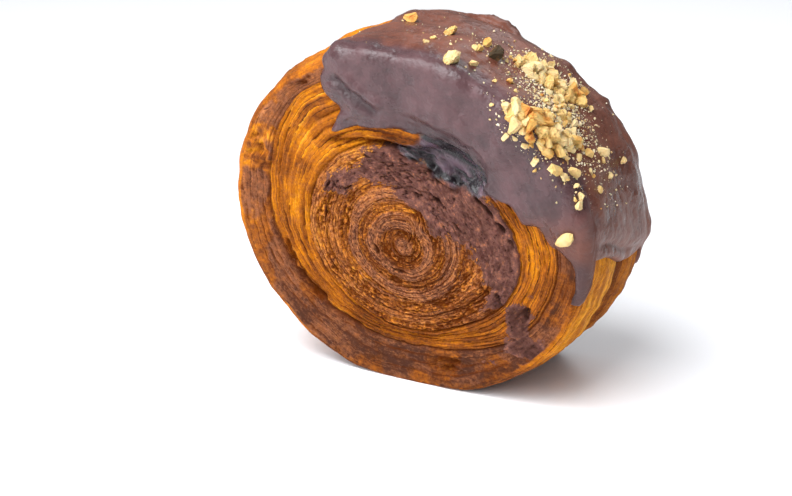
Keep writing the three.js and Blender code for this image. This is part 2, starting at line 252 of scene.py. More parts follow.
def polar(radius, angle, along):
    """Places, in millimetres, at a distance and an angle from the roll's axis."""
    return np.stack(np.broadcast_arrays(radius * np.cos(angle), radius * np.sin(angle), along), -1)


def width_share(along):
    """0 at the front face and 1 at the back one."""
    return 0.5 + along / (2 * HALF_WIDTH)


print("roll", 2 * RIM_RADIUS, "mm across and", 2 * HALF_WIDTH, "mm wide")

# %% Outline of the rim
BUMPS = [
    {"angle": math.radians(-50), "spread": math.radians(38), "front": -2.6, "back": 1.0},
    {"angle": math.radians(130), "spread": math.radians(30), "front": 1.0, "back": 3.2},
    {"angle": math.radians(195), "spread": math.radians(25), "front": 1.1, "back": 0.8},
]
RAGGED = Lumps(0.9, 1, 1, 7, 3)
RAGGED_STEP, RAGGED_LENGTH = 7.0, 15.0
JUST_DOWN = 1e-6


def bell(angle, middle, spread):
    """1 at the middle angle, falling to nothing over about twice the spread."""
    return ridge(wrap(angle - middle), 0, spread)


def bump_at(bump, angle, along):
    most = mix(bump["front"], bump["back"], width_share(along))
    return most * bell(angle, bump["angle"], bump["spread"])


def soft_min(first, second, rounding):
    """The smaller of two lengths, with a rounded change from one to the other."""
    near = np.maximum(0, rounding - np.abs(first - second)) / rounding
    return np.minimum(first, second) - rounding * near ** 2 / 4


def outline(angle, along, reach, flatness=1.0):
    """Distance from the roll's middle to its uneven rim, which is cut off at the foot."""
    steps = RIM_RADIUS / RAGGED_STEP
    drift = along / RAGGED_LENGTH
    uneven = RAGGED.at(steps * np.cos(angle), steps * np.sin(angle) + drift)
    whole = RIM_RADIUS + sum(bump_at(bump, angle, along) for bump in BUMPS) + uneven + reach
    down = np.maximum(-np.sin(angle), JUST_DOWN)
    return mix(whole, soft_min(whole, FOOT_DROP / down, FOOT_ROUNDING), flatness)


print("rim at the right:", outline(0.0, 0.0, SWELL).round(1), "mm from the middle")

# %% The spiral of the strip
EYE_X, EYE_UP = -1.0, -4.0
TURNS = 7
INNER_TURNS = 2
CORE_TURNS = 5
EYE_REACH = 0.07
CORE_PITCH = 0.1
PUFFED_PITCH = 0.245
TURN_ANGLE = math.radians(75)
DRIFT = 0.22
STEP_FROM = 0.9
FACE_EDGE = 0.98
SHIFTS = [
    {"most": -0.14, "from": 0.55, "full": 0.85, "angle": 275, "before": 62, "after": 30},
    {"most": 0.07, "from": 0.25, "full": 0.6, "angle": -14, "before": 32, "after": 32},
    {"most": 0.135, "from": 0.57, "full": 0.8, "angle": 118, "before": 24, "after": 34},
]


def around_eye(x, up):
    return np.arctan2(up - EYE_UP, x - EYE_X)


def from_eye(x, up):
    return np.hypot(x - EYE_X, up - EYE_UP)


def advance(part):
    """How far a turn has moved outwards after a part of its way round."""
    return DRIFT * part + (1 - DRIFT) * smooth(part, STEP_FROM, 1)


def shift_at(shift, share, angle):
    """How far the turns are moved outwards at an angle, fully at one share and not at the edge."""
    aside = np.degrees(wrap(angle - math.radians(shift["angle"])))
    spread = np.where(aside < 0, shift["before"], shift["after"])
    fading = 1 - np.clip((share - shift["full"]) / (1 - shift["full"]), 0, 1)
    moved = smooth(share, shift["from"], shift["full"]) * fading
    return shift["most"] * ridge(aside, 0, spread) * moved


def share_at(turns, angle):
    """Share of the way from the eye to the edge of the face, after so many turns."""
    puffed = np.maximum(0, turns - CORE_TURNS) * (PUFFED_PITCH - CORE_PITCH)
    share = np.maximum(0, EYE_REACH + CORE_PITCH * turns + puffed)
    moved = sum(shift_at(shift, share, angle) for shift in SHIFTS)
    return np.where(share > FACE_EDGE, 1.0, share + moved)


def strip_length(run):
    """Millimetres of strip from the eye to a place so many turns along it."""
    core = np.minimum(run, CORE_TURNS)
    puffed = np.maximum(0, run - CORE_TURNS)
    core_part = EYE_REACH * core + CORE_PITCH * core ** 2 / 2
    core_end = EYE_REACH + CORE_PITCH * CORE_TURNS
    return 2 * np.pi * RIM_RADIUS * (core_part + core_end * puffed + PUFFED_PITCH * puffed ** 2 / 2)


print("strip", round(float(strip_length(np.array(TURNS)))), "mm long")

# %% [markdown]
# ## The flaky face
# A wound strip shows its cut edge: thin sheets of dough, parted by butter, that follow the spiral.
# Each turn is sunk, raised and grooved like the solid, and its sheets lie like shingles of slightly
# different height with dark gaps between some of them. The gaps open and close along the strip, and
# here and there a piece of a sheet has broken off. The tight core is full of small pits.

# %% Relief that the solid has too
SUNK_FROM, SUNK_FULL, SUNK_LAST, SUNK_TO = 4.9, 5.0, 5.9, 6.0
SUNK_INNER, SUNK_OUTER = 0.5, 0.95
SUNK_LEAST, SUNK_ANGLE, SUNK_SPREAD = 0.15, math.radians(225), math.radians(38)
GROOVE = 0.5
GROOVE_GROWTH = 0.08
HALF_GROOVE, GROOVE_ROUNDING = 0.5, 1.5
GROOVE_OPEN = Patches(14.0, 1, 29, 0.35, 0.75)
EYE_GROOVE = 0.25
LEAST_OPEN = 0.6
CLOSED_ANGLE, CLOSED_SPREAD, CLOSED_SHARE = math.radians(130), math.radians(35), 0.8
FRONT = {"sign": -1, "sunk": 1.9, "rows": 30}
BACK = {"sign": 1, "sunk": 1.6, "rows": 9}


def second_turn(run):
    return smooth(run, SUNK_FROM, SUNK_FULL) * (1 - smooth(run, SUNK_LAST, SUNK_TO))


def by_zone(run, core, second, outer):
    """A value for the core, one for the second turn and one for the outer turn."""
    in_second = second_turn(run)
    in_outer = smooth(run, SUNK_LAST, SUNK_TO)
    return core * (1 - in_second - in_outer) + second * in_second + outer * in_outer


def in_core(run):
    return by_zone(run, 1, 0, 0)


def sink_at(side, run, across):
    return side["sunk"] * second_turn(run) * mix(SUNK_INNER, SUNK_OUTER, across)


def groove_depth(run):
    """Depth of the groove on a turn's inner side, which opens and closes along the strip."""
    opening = GROOVE_OPEN.at(strip_length(run), 0.5)
    opening = mix(opening, mix(LEAST_OPEN, 1, opening), smooth(run, 4.2, 5))
    closed = bell(TURN_ANGLE + 2 * np.pi * run, CLOSED_ANGLE, CLOSED_SPREAD) * smooth(run, 5.5, 6)
    growth = (GROOVE + GROOVE_GROWTH * run) * mix(EYE_GROOVE, 1, smooth(run, 1.5, 4))
    return growth * opening * (1 - CLOSED_SHARE * closed)


def grooved(side, run, across, pitch, deep):
    """Depth of the strip's edge, and the same with a rounded groove on either side of it."""
    own = deep * sink_at(side, run, across)
    inner_edge = deep * np.maximum(sink_at(side, run, 0), sink_at(side, run - 1, 1))
    outer_edge = deep * np.maximum(sink_at(side, run + 1, 0), sink_at(side, run, 1))
    half_groove = HALF_GROOVE / pitch
    towards_inner = (1 - smooth(across, 0, half_groove)) ** GROOVE_ROUNDING
    towards_outer = smooth(across, 1 - half_groove, 1) ** GROOVE_ROUNDING
    depth = mix(own, inner_edge + groove_depth(run), towards_inner)
    return own, mix(depth, outer_edge + groove_depth(run + 1), towards_outer)


print("groove round the core", GROOVE + GROOVE_GROWTH * CORE_TURNS, "mm deep")

# %% Distances to spots, lines and shapes on a face
FAR = 1e9


def spot(x, up, length, width, heading):
    """A long spot; its length and width are measured from its middle, its heading in degrees."""
    return {"x": x, "up": up, "length": length, "width": width, "heading": math.radians(heading)}


def ellipse_share(oval, x, up):
    """0 at the middle of a long spot, 1 at its edge."""
    aside_x, aside_up = x - oval["x"], up - oval["up"]
    lengthwise = aside_x * math.cos(oval["heading"]) + aside_up * math.sin(oval["heading"])
    crosswise = aside_up * math.cos(oval["heading"]) - aside_x * math.sin(oval["heading"])
    return np.hypot(lengthwise / oval["length"], crosswise / oval["width"])


def line_distance(corners, x, up):
    """Distance to a line through the given corners."""
    nearest = np.full(np.broadcast(x, up).shape, FAR)
    for (ax, ay), (bx, by) in zip(corners, corners[1:]):
        span = (bx - ax) ** 2 + (by - ay) ** 2
        foot = np.clip(((x - ax) * (bx - ax) + (up - ay) * (by - ay)) / span, 0, 1)
        nearest = np.minimum(nearest, np.hypot(x - ax - foot * (bx - ax), up - ay - foot * (by - ay)))
    return nearest


def inside_distance(shape, x, up):
    """Distance to a shape's edge, above 0 inside it and below 0 outside."""
    closed = shape + shape[:1]
    nearest = line_distance(closed, x, up)
    crossings = np.zeros(nearest.shape, int)
    for (ax, ay), (bx, by) in zip(closed, closed[1:]):
        slope = (bx - ax) / (by - ay) if by != ay else 0.0
        crossings += ((ay > up) != (by > up)) & (x < ax + (up - ay) * slope)
    return np.where(crossings % 2 == 1, nearest, -nearest)


def slanted(x, up, slant):
    """Distances along and across a slanting direction."""
    return x * slant[0] - up * slant[1], x * slant[1] + up * slant[0]


HOLLOW = spot(14.0, 23.5, 12.0, 6.5, 150)
print("hollow", 2 * HOLLOW["length"], "mm long")

# %% Smeared chocolate and its cracks
SMEAR = [(-24, 9.5), (-21, 15.5), (-13, 19), (-9, 25), (0, 28), (12, 21), (24, 17), (33, 10), (37, 0),
         (37, -12), (30, -19), (21, -18.5), (23, -13), (22, -5), (17, -0.5), (9, 1), (5, 7), (0, 10.5),
         (-5, 13.5), (-12, 14), (-17, 9.5)]
SPLASH = [(33.5, -15.5), (36.5, -18.5), (35, -22), (38.5, -25), (38, -30), (34.5, -33.5), (28, -35),
          (20, -40), (10, -42.5), (8, -39), (18, -35.5), (25, -31.5), (23, -27.5), (29, -26), (30, -20),
          (31, -16)]
SMEAR_FADE = 8.0
SMEAR_WAVER, SPLASH_WAVER = Lumps(2.5, 4, 4, 62, 3), Lumps(7.0, 6, 6, 70, 4)
SPLASH_THINNING, THIN_FROM, THIN_TO = 2.5, 28, 36
CRACK_SLANT, CRACKS = (0.8, 0.6), Lumps(1, 2.6, 1.1, 58, 3)
CRACKED = Patches(5, 5, 60, 0.35, 0.6)
FEWER_CRACKS = 0.5


def edge_share(shape, x, up, waver):
    """0.5 at a shape's wavering edge, more inside and less outside."""
    return np.clip(0.5 + (inside_distance(shape, x, up) + waver) / SMEAR_FADE, 0, 1)


def smear_at(run, x, up):
    """0.5 at the edge of the smeared chocolate, more inside and less outside."""
    on_core = edge_share(SMEAR, x, up, SMEAR_WAVER.at(x, up)) * in_core(run)
    patchy = SPLASH_WAVER.at(x, up) - SPLASH_THINNING * smooth(-up, THIN_FROM, THIN_TO)
    return np.maximum(on_core, edge_share(SPLASH, x, up, patchy))


def cracks_at(x, up):
    """Short cracks where the drying smear has come apart, mostly on its upper part."""
    aslant, across = slanted(x, up, CRACK_SLANT)
    apart = np.abs(CRACKS.at(aslant, across))
    where = CRACKED.at(x, up) * mix(1, FEWER_CRACKS, smooth(x, 12, 22))
    return where * (1 - smooth(apart, 0.02, 0.07))


print("smear with", len(SMEAR), "corners, splash with", len(SPLASH))

# %% Sheets of dough
SHEETS = (3.0, 8.0, 7.0)
LONG_WANDER, SHORT_WANDER = Lumps(1.1, 38, 1.25, 11, 2), Lumps(0.2, 5, 0.25, 17, 3)
RISES = [{"height": 0.65, "length": 21, "seed": 31}, {"height": 0.35, "length": 6, "seed": 37}]
BROKEN, BROKEN_DROP, BROKEN_SLANT = Patches(7, 1, 43, 0.56, 0.66), 0.7, 0.25
SHEET_OPEN = Patches(11, 1, 41, 0.3, 0.7)
GAP_WIDTH = 0.2


def sheets(run, across, length):
    """Which sheet a place is in, how far across it, how raised it is and how open its border."""
    wander = LONG_WANDER.at(length, across) + SHORT_WANDER.at(length, across)
    layer = by_zone(run, *SHEETS) * across + wander
    index = np.floor(layer)
    inside = layer - index
    raised = sum(rise["height"] * hills(length / rise["length"], index, rise["seed"]) for rise in RISES)
    broken = BROKEN.at(length, index + BROKEN_SLANT * inside)
    border = np.minimum(inside, 1 - inside)
    gap = SHEET_OPEN.at(length, index) * (1 - smooth(border, 0.0, GAP_WIDTH))
    return layer, inside, raised - BROKEN_DROP * broken, gap


print("sheets in a turn:", *SHEETS)

# %% Pits and skin of the core
RINGS_PER_TURN = 0.77
RING_START = 0.69
RING_WAVER = Lumps(0.5, 17, 1, 47, 2)
COARSE_PITS = Patches(1.0, 0.5, 53, 0.55, 0.68)
FINE_PITS = Patches(0.7, 0.38, 54, 0.6, 0.72)
ARC_PITS = Patches(2.6, 0.55, 56, 0.6, 0.7)
PITTED, LEAST_PITTED = Patches(6, 6, 57, 0.25, 0.6), 0.5
SKIN_PITS, SECOND_PITS, OUTER_PITS = 0.18, 0.12, 0.15


def core_pits(run, length, width, x, up):
    """How pitted the dough is, and where a smooth skin has closed over it in rings."""
    reach = from_eye(x, up)
    ring = RINGS_PER_TURN * (reach / (CORE_PITCH * RIM_RADIUS) - EYE_REACH / CORE_PITCH) - RING_START
    ring = ring + RING_WAVER.at(length, 0.5)
    skin = smooth(2 * np.abs(ring - np.floor(ring) - 0.5), 0.35, 0.65)
    skin = np.maximum(skin * (1 - 0.6 * smooth(reach, 16, 21)), 1 - smooth(reach, 2.2, 3.4))
    arcs = ARC_PITS.at(length, width) * (1 - smooth(reach, 8, 13))
    pits = np.maximum(np.maximum(COARSE_PITS.at(length, width), FINE_PITS.at(length, width)), arcs)
    patchy = mix(LEAST_PITTED, 1, PITTED.at(x, up))
    return pits * patchy * by_zone(run, mix(1, SKIN_PITS, skin), SECOND_PITS, OUTER_PITS), skin


print("rings in a turn of the core:", RINGS_PER_TURN)

# %% Slits, crevices and the rolled edge
SLIT_DEPTH, SLIT_WAVER = 1.5, Lumps(0.6, 1.4, 1.4, 63, 2)
SLITS = [(-9.3, -6, 2.6, 0.8, -75), (-2.5, -11.8, 4.0, 0.6, -8), (10.5, 12.3, 3.2, 0.8, -48),
         (5.5, 13.4, 1.6, 0.6, -15), (15.5, 5.5, 2.6, 0.4, -50), (4.0, 23.6, 2.2, 0.7, -25),
         (9.0, 19.4, 3.2, 0.6, -38), (-9.5, 22.3, 2.0, 0.5, -12), (22.5, -13.5, 2.4, 0.7, -45),
         (26.5, -15.5, 2.8, 0.6, -70), (-16.0, 12.0, 2.2, 0.5, 35), (-22.5, 11.5, 1.8, 0.5, 60)]
CREVICE_WAVER, CREVICE_OPEN = Lumps(0.4, 2, 2, 68, 2), Patches(2.5, 2.5, 64, 0.15, 0.5)
CREVICES = [(0.6, 2.0, [(20.5, 15.5), (24, 12.5), (28, 8), (31, 3.5), (32.5, 0)]),
            (0.7, 1.8, [(-9, 26.6), (-3, 27.2), (4, 26.8)]),
            (0.8, 1.8, [(-38.5, -10), (-37, -16), (-34, -21.5), (-29, -26.5)]),
            (0.5, 1.0, [(-2, 25.5), (3, 23), (8, 20.5), (12, 17.5), (16, 15.5)]),
            (0.3, 0.5, [(13, 11), (18, 7.5), (21, 3), (22.5, -2)])]
ROLLED_EDGE = [(-20, 28.0), (-11, 29.6), (-2, 29.4), (5, 27.8)]
ROLL_HEIGHT, ROLL_WIDTH = 1.3, 1.5
FOLD_DROP, FOLD_WIDTH = 2.7, 0.8


def slits_at(x, up):
    """Depth of the slits in the front face, with uneven edges."""
    waver = SLIT_WAVER.at(x, up)
    return sum(SLIT_DEPTH * (1 - smooth(ellipse_share(spot(*slit), x, up) + waver, 0.3, 1))
               for slit in SLITS)


def crevices_at(x, up):
    """Depth of the long dark gaps in the front face, which open and close."""
    open_here, waver = CREVICE_OPEN.at(x, up), CREVICE_WAVER.at(x, up)
    return sum(deepest * open_here * ridge(line_distance(corners, x, up) + waver, 0, width)
               for width, deepest, corners in CREVICES)


def rolled_edge(x, up):
    """A rolled-over edge of the second turn with a shadowed fold under it, measured inwards."""
    roll = ridge(line_distance(ROLLED_EDGE, x, up), 0, ROLL_WIDTH)
    under = ridge(line_distance(ROLLED_EDGE, x, up + FOLD_DROP), 0, FOLD_WIDTH)
    return ROLL_HEIGHT * under - ROLL_HEIGHT * roll, under


print("slits:", len(SLITS), "crevices:", len(CREVICES))

# %% Torn and flaked places, and the hollow
TORN = [spot(-45.0, 20.5, 5.0, 3.6, 65), spot(-28.0, 41.5, 6.0, 3.2, 35), spot(33.0, -19.0, 4.0, 2.2, 60),
        spot(10.0, -40.0, 7.0, 3.0, 5)]
TORN_DEPTH, TORN_CRAGS = 0.8, 4.5
CRAGS = Lumps(1, 1.8, 1.8, 61, 3)
SKIN_LUMPS, FLAKED, WHOLE = Lumps(1, 8, 8, 87, 4), -0.04, 0.05
BARE_ANGLE, BARE_SPREAD = math.radians(145), math.radians(32)
HOLLOW_FLOOR, HOLLOW_WAVER = 0.35, Lumps(0.4, 4, 4, 66, 3)
WRINKLE_SLANT, WRINKLES = (0.9, 0.44), Lumps(1, 5, 0.9, 65, 3)


def torn_at(x, up):
    """Depth of the craggy spots where the outer skin has torn."""
    depth = TORN_DEPTH + TORN_CRAGS * CRAGS.at(x, up)
    return sum(depth * (1 - smooth(ellipse_share(torn, x, up), 0.4, 1)) for torn in TORN)


def skin_patches(x, up):
    return smooth(SKIN_LUMPS.at(x, up), FLAKED, WHOLE)


def bare_at(run, x, up):
    """Where the skin of the outer turn has flaked off, at the upper left."""
    flaked = 1 - skin_patches(x, up)
    return by_zone(run, 0, 0, 1) * flaked * bell(around_eye(x, up), BARE_ANGLE, BARE_SPREAD)


def hollow_at(side, x, up):
    """How much of a place belongs to the hollow where a turn steps outwards."""
    if side is not FRONT:
        return 0.0
    waver = HOLLOW_WAVER.at(x, up)
    return 1 - smooth(ellipse_share(HOLLOW, x, up) + waver, HOLLOW_FLOOR, 1)


def wrinkles_at(x, up):
    """Long wrinkles of the wet chocolate in the hollow, from 0 in a furrow to 1 on a crest."""
    aslant, across = slanted(x, up, WRINKLE_SLANT)
    return smooth(WRINKLES.at(aslant, across), -0.4, 0.4)


print("torn spots:", len(TORN))

# %% Relief of a whole face
FLAKES = (0.2, 0.75, 0.25)
FLAKE_SLOPE, FLAKE_BASE = 0.6, 0.8
PITS, SKIN_RISE = 0.65, 0.3
SMEAR_THICKNESS, SMEAR_CRACKS = 0.35, 1.0
SMEAR_LUMPS = Lumps(1.2, 1.8, 1.8, 59, 3)
SHOWS_THROUGH, FILLS_GAPS, FILLS_PITS = 0.25, 0.7, 0.6
TORN_SHADE = 0.8
WARP = Lumps(0.5, 9, 9, 67, 3)
CRUMBS, CRUMB_HEIGHTS = Lumps(1, 1.3, 1.3, 69, 2), (0.35, 0.25, 0.4)
BARE_DEPTH, BARE_ROUGHNESS = 0.4, 2.0
HOLLOW_DEPTH, WRINKLE_HEIGHT = 5.0, 0.8


def smeared_over(side, run, x, up, bare_dough, own):
    """Depth with the smear on it, how far the place is smeared, and its cracks."""
    if side is not FRONT:
        return bare_dough, 0.0, 0.0
    smeared = smooth(smear_at(run, x, up), 0.45, 0.6)
    film = SMEAR_THICKNESS * (1 + SMEAR_LUMPS.at(x, up))
    cracks = cracks_at(x, up) * smeared
    covered = own + SHOWS_THROUGH * (bare_dough - own) - film
    return mix(bare_dough, covered, smeared) + SMEAR_CRACKS * cracks, smeared, cracks


def face_relief(side, run, across, length, x, up):
    """Depth below the flat face, and what else is known about the dough there."""
    pitch = by_zone(run, CORE_PITCH, PUFFED_PITCH, PUFFED_PITCH) * (RIM_RADIUS - SHOULDER)
    layer, inside, raised, gap = sheets(run, across, length)
    flakes = by_zone(run, *FLAKES)
    pits, skin = core_pits(run, length, across * pitch, x, up)
    deep = mix(SUNK_LEAST, 1, bell(around_eye(x, up), SUNK_ANGLE, SUNK_SPREAD))
    own, groove = grooved(side, run, across, pitch, deep)
    layered = flakes * (FLAKE_BASE - raised - FLAKE_SLOPE * inside + gap)
    layered = layered + PITS * pits - SKIN_RISE * skin * in_core(run)
    depth, smeared, cracks = smeared_over(side, run, x, up, groove + layered, own)
    # Painted shade: open gaps, grooves, cracks, slits, the fold under the rolled edge and torn crags are
    # marked to be coloured dark.
    recess_shade = np.maximum(gap, smooth(groove - own, 0.2, 0.8)) * (1 - FILLS_GAPS * smeared)
    recess_shade = np.maximum(recess_shade, cracks)
    if side is FRONT:
        slits = slits_at(x, up) + crevices_at(x, up)
        rolled, fold_shadow = rolled_edge(x, up)
        depth = depth + slits + rolled
        recess_shade = np.maximum(recess_shade, np.maximum(smooth(slits, 0.3, 1.3), fold_shadow))
        recess_shade = np.maximum(recess_shade, TORN_SHADE * smooth(torn_at(x, up), 0.4, 1.3))
    depth = depth + WARP.at(x, up) + by_zone(run, *CRUMB_HEIGHTS) * CRUMBS.at(x, up)
    depth = depth + bare_at(run, x, up) * (BARE_DEPTH + BARE_ROUGHNESS * CRAGS.at(x, up))
    wrinkled = HOLLOW_DEPTH + WRINKLE_HEIGHT * (0.5 - wrinkles_at(x, up))
    depth = mix(depth, wrinkled, hollow_at(side, x, up))
    pits = pits * (1 - FILLS_PITS * smeared)
    return depth, {"layer": layer, "raised": raised, "gap": recess_shade, "pits": pits, "skin": skin}


print("flakes stand out by up to", max(FLAKES), "mm")

# %% Rows of the rim
RIM_PROFILE_AT = [-FLAT, -9, 0.5, 4.5, 8.5, 13, FLAT]
RIM_PROFILE = [0, SWELL, 0.3, -1.8, 0.2, SWELL, 0]
SHOULDER_ROWS = 6
RIM_ROWS = 36
PROFILE_STEPS, PROFILE_EASING = 73, 9
RIM_WRINKLES, RIM_BLISTERS = Lumps(0.5, 17, 1.6, 71, 3), Lumps(0.5, 6, 5, 73, 3)


def rim_swell(along):
    """How far the two bands of the rim stand out, smoothed between its few given places."""
    spans = np.linspace(-FLAT, FLAT, PROFILE_STEPS)
    level = np.pad(np.interp(spans, RIM_PROFILE_AT, RIM_PROFILE), PROFILE_EASING // 2, mode="edge")
    eased = np.convolve(level, np.ones(PROFILE_EASING) / PROFILE_EASING, mode="valid")
    return np.interp(along, spans, eased) * (1 - smooth(np.abs(along), FLAT - 2, FLAT))


def shoulder_turns():
    """Angles of the rows round a shoulder, from the face to the rim."""
    return np.linspace(0, np.pi / 2, SHOULDER_ROWS + 1)[:-1]


def rim_rows():
    """Reach and place along the axis for each row, from the front shoulder to the back one."""
    front_along = -(FLAT + SHOULDER * np.cos(shoulder_turns()))
    front_reach = SHOULDER * np.sin(shoulder_turns()) - SHOULDER
    along = np.linspace(-FLAT, FLAT, RIM_ROWS)
    alongs = np.concatenate([front_along, along, -front_along[::-1]])
    reaches = np.concatenate([front_reach, rim_swell(along), front_reach[::-1]])
    return alongs[:, None], reaches[:, None]


def rim_relief(angle, along):
    """Fine lengthwise wrinkles and broad blisters of the baked skin, none at the faces' edges."""
    arc = angle * RIM_RADIUS
    inwards = 1 - smooth(np.abs(along), FLAT - 3, HALF_WIDTH)
    return (RIM_WRINKLES.at(arc, along) + RIM_BLISTERS.at(arc, along)) * inwards


print("rim rows:", len(rim_rows()[0]))

# %% Every point of the pastry
COLUMNS = 288
RING_FLATTENING = 4
EYE_FADE, EDGE_FADE, TORN_FADE = 0.03, 0.9, 0.97


def face_points(side):
    """Points of one face from the eye outwards, with what the finish needs to know about them."""
    turn = np.repeat(np.arange(-INNER_TURNS, TURNS), side["rows"])[:, None]
    across = np.tile(np.arange(side["rows"]) / side["rows"], TURNS + INNER_TURNS)[:, None]
    part = np.linspace(0, 1, COLUMNS + 1)[None, :]
    run = turn + part
    angle = TURN_ANGLE + 2 * np.pi * part
    share = share_at(turn + across + advance(part), angle)
    edge = outline(angle, side["sign"] * HALF_WIDTH, -SHOULDER, share ** RING_FLATTENING)
    x = mix(EYE_X, edge * np.cos(angle), share)
    up = mix(EYE_UP, edge * np.sin(angle), share)
    length = strip_length(run)
    depth, facts = face_relief(side, run, across, length, x, up)
    depth = depth * (1 - smooth(share, EDGE_FADE, 1)) * smooth(share, 0, EYE_FADE)
    if side is FRONT:
        depth = depth + torn_at(x, up) * (1 - smooth(share, TORN_FADE, 1))
    points = place(x, up, side["sign"] * (HALF_WIDTH - depth))
    facts.update({"x": x, "up": up, "run": run, "length": length, "share": share})
    return points, {name: value + 0 * x for name, value in facts.items()}


front_points, front = face_points(FRONT)
back_points, behind = face_points(BACK)
rim_along, rim_reach = rim_rows()
rim_angle = TURN_ANGLE + 2 * np.pi * np.linspace(0, 1, COLUMNS + 1)[None, :]
wrinkle = rim_relief(rim_angle, rim_along)
wrinkle[:, -1] = wrinkle[:, 0]
rim_points = placed(polar(outline(rim_angle, rim_along, rim_reach + wrinkle), rim_angle, rim_along))
pastry_points = np.concatenate([front_points, rim_points, back_points[::-1]])
print("pastry sheet:", pastry_points.shape[:2], "points")

# %% [markdown]
# ## From a flat grid to the roll
# A grid primitive already has its rows and columns joined by faces. Moving its points to the places
# worked out above bends it into the roll. Where a row's end lies on the start of the next turn, and
# where rows shrink to the eye, points coincide, and merging them closes the skin without a seam.

# %% Make the pastry
MERGE_DISTANCE = 0.002 * MM


def bent_grid(name, points):
    """A grid primitive of the given rows and columns, with its points moved to these places."""
    rows, columns = points.shape[:2]
    bpy.ops.object.select_all(action="DESELECT")
    bpy.ops.mesh.primitive_grid_add(x_subdivisions=columns - 1, y_subdivisions=rows - 1, size=1)
    thing = bpy.context.object
    thing.name = name
    thing.data.name = name
    thing.data.vertices.foreach_set("co", points.astype(np.float32).ravel())
    thing.data.update()
    return thing


def write_attribute(thing, name, values):
    layer = thing.data.attributes.new(name, "FLOAT", "POINT")
    layer.data.foreach_set("value", values.astype(np.float32).ravel())


def write_map(thing, across, along):
    """The piece's own flat map, for patterns that follow the surface."""
    corners = np.empty(len(thing.data.loops), np.int32)
    thing.data.loops.foreach_get("vertex_index", corners)
    flat = np.stack([across.ravel()[corners], along.ravel()[corners]], -1)
    thing.data.uv_layers[0].data.foreach_set("uv", flat.astype(np.float32).ravel())


def close_up(thing):
    """Merges coinciding points, points the faces outwards and smooths the shading."""
    bpy.ops.object.select_all(action="DESELECT")
    thing.select_set(True)
    bpy.context.view_layer.objects.active = thing
    bpy.ops.object.mode_set(mode="EDIT")
    bpy.ops.mesh.select_all(action="SELECT")
    bpy.ops.mesh.remove_doubles(threshold=MERGE_DISTANCE)
    bpy.ops.mesh.normals_make_consistent(inside=False)
    bpy.ops.object.mode_set(mode="OBJECT")
    bpy.ops.object.shade_smooth()


pastry = bent_grid("pastry_roll", pastry_points)
print("pastry grid:", len(pastry.data.vertices), "points")

# %% [markdown]
# ## How brown each place is
# Baking colours dough by what stands out to the heat: the flat outer band is dark, the sunken turn
# behind it stays golden, and the gaps between sheets look dark because no light reaches them. These
# are written on the points as plain numbers that the finish reads.

# %% Browning of the faces
PIT_BROWN, SKIN_BROWN = 0.62, 0.6
SECOND_BROWN, OUTER_BROWN = 0.42, 0.67
LOW_BROWN = (0.06, 0.15, 0.1)
SECOND_RIGHT, OUTER_RIGHT = 0.1, 0.08
RAISED_BROWN = (0.06, 0.2, 0.1)
STREAK_BROWN, STREAKS, STREAKS_PER_SHEET = (0.16, 0.25, 0.15), Lumps(1, 23, 1, 81, 1), 2.4
PATCH_BROWN, BROWN_PATCHES = (0.2, 0.2, 0.16), Lumps(1, 8, 8, 83, 4)
MIDDLE_BROWN, CORNER_BROWN, LEFT_PALE, TOP_PALE = 0.03, 0.07, 0.12, 0.06
CURL_BROWN_AND_SHADE, CURL_WIDTH = 0.455, 2.4
BARE_PALE, BARE_MOTTLE = 0.22, Lumps(0.9, 2, 2, 61, 3)
EDGE_PALE = 0.15
CORE_SKIN, RING_SKIN, SECOND_SKIN, OUTER_SKIN, PATCH_SKIN = 0.32, 0.6, 0.03, 0.2, 0.7


def core_browning(skin, reach, low, right):
    """Browning of the core: dark in the middle and at the right, golden at its left and its top."""
    brown = mix(PIT_BROWN, SKIN_BROWN, skin) + LOW_BROWN[0] * low
    dark = MIDDLE_BROWN * (1 - smooth(reach, 8, 11)) + CORNER_BROWN * right * smooth(reach, 11, 15)
    pale = LEFT_PALE * smooth(reach, 17, 22) * (1 - right) + TOP_PALE * smooth(reach, 14, 18) * (1 - low)
    return brown + dark - pale


def face_browning(facts):
    x, up, run, layer, length = (facts[key] for key in ("x", "up", "run", "layer", "length"))
    around = around_eye(x, up)
    low = smooth(-np.sin(around), -0.1, 0.8)
    right = smooth(np.cos(around), 0.1, 0.8)
    core = core_browning(facts["skin"], from_eye(x, up), low, right)
    second = SECOND_BROWN + LOW_BROWN[1] * low + SECOND_RIGHT * right
    outer = OUTER_BROWN + LOW_BROWN[2] * low + OUTER_RIGHT * right
    brown = by_zone(run, core, second, outer)
    # The rolled edge is browner towards its right end: partly the dough's own colour, partly painted shade
    # under the chocolate lip.
    curled = ridge(line_distance(ROLLED_EDGE, x, up), 0, CURL_WIDTH) * smooth(x, -14, 0)
    brown = brown + CURL_BROWN_AND_SHADE * curled * by_zone(run, 1, 1, 0)
    brown = brown + by_zone(run, *RAISED_BROWN) * facts["raised"]
    brown = brown + by_zone(run, *STREAK_BROWN) * STREAKS.at(length, layer * STREAKS_PER_SHEET)
    brown = brown + by_zone(run, *PATCH_BROWN) * BROWN_PATCHES.at(x, up)
    brown = brown + bare_at(run, x, up) * (BARE_MOTTLE.at(x, up) - BARE_PALE)
    return brown - EDGE_PALE * smooth(facts["share"], 0.965, 1.0) * hills(around * 7, 0.5, 85)


def face_skin(facts):
    """How much of the dull, purplish skin of well-baked dough a place has."""
    patches = skin_patches(facts["x"], facts["up"])
    core = CORE_SKIN + RING_SKIN * facts["skin"]
    return by_zone(facts["run"], core, SECOND_SKIN, OUTER_SKIN + PATCH_SKIN * patches)


front_brown = face_browning(front)
print("front browning from", front_brown.min().round(2), "to", front_brown.max().round(2))

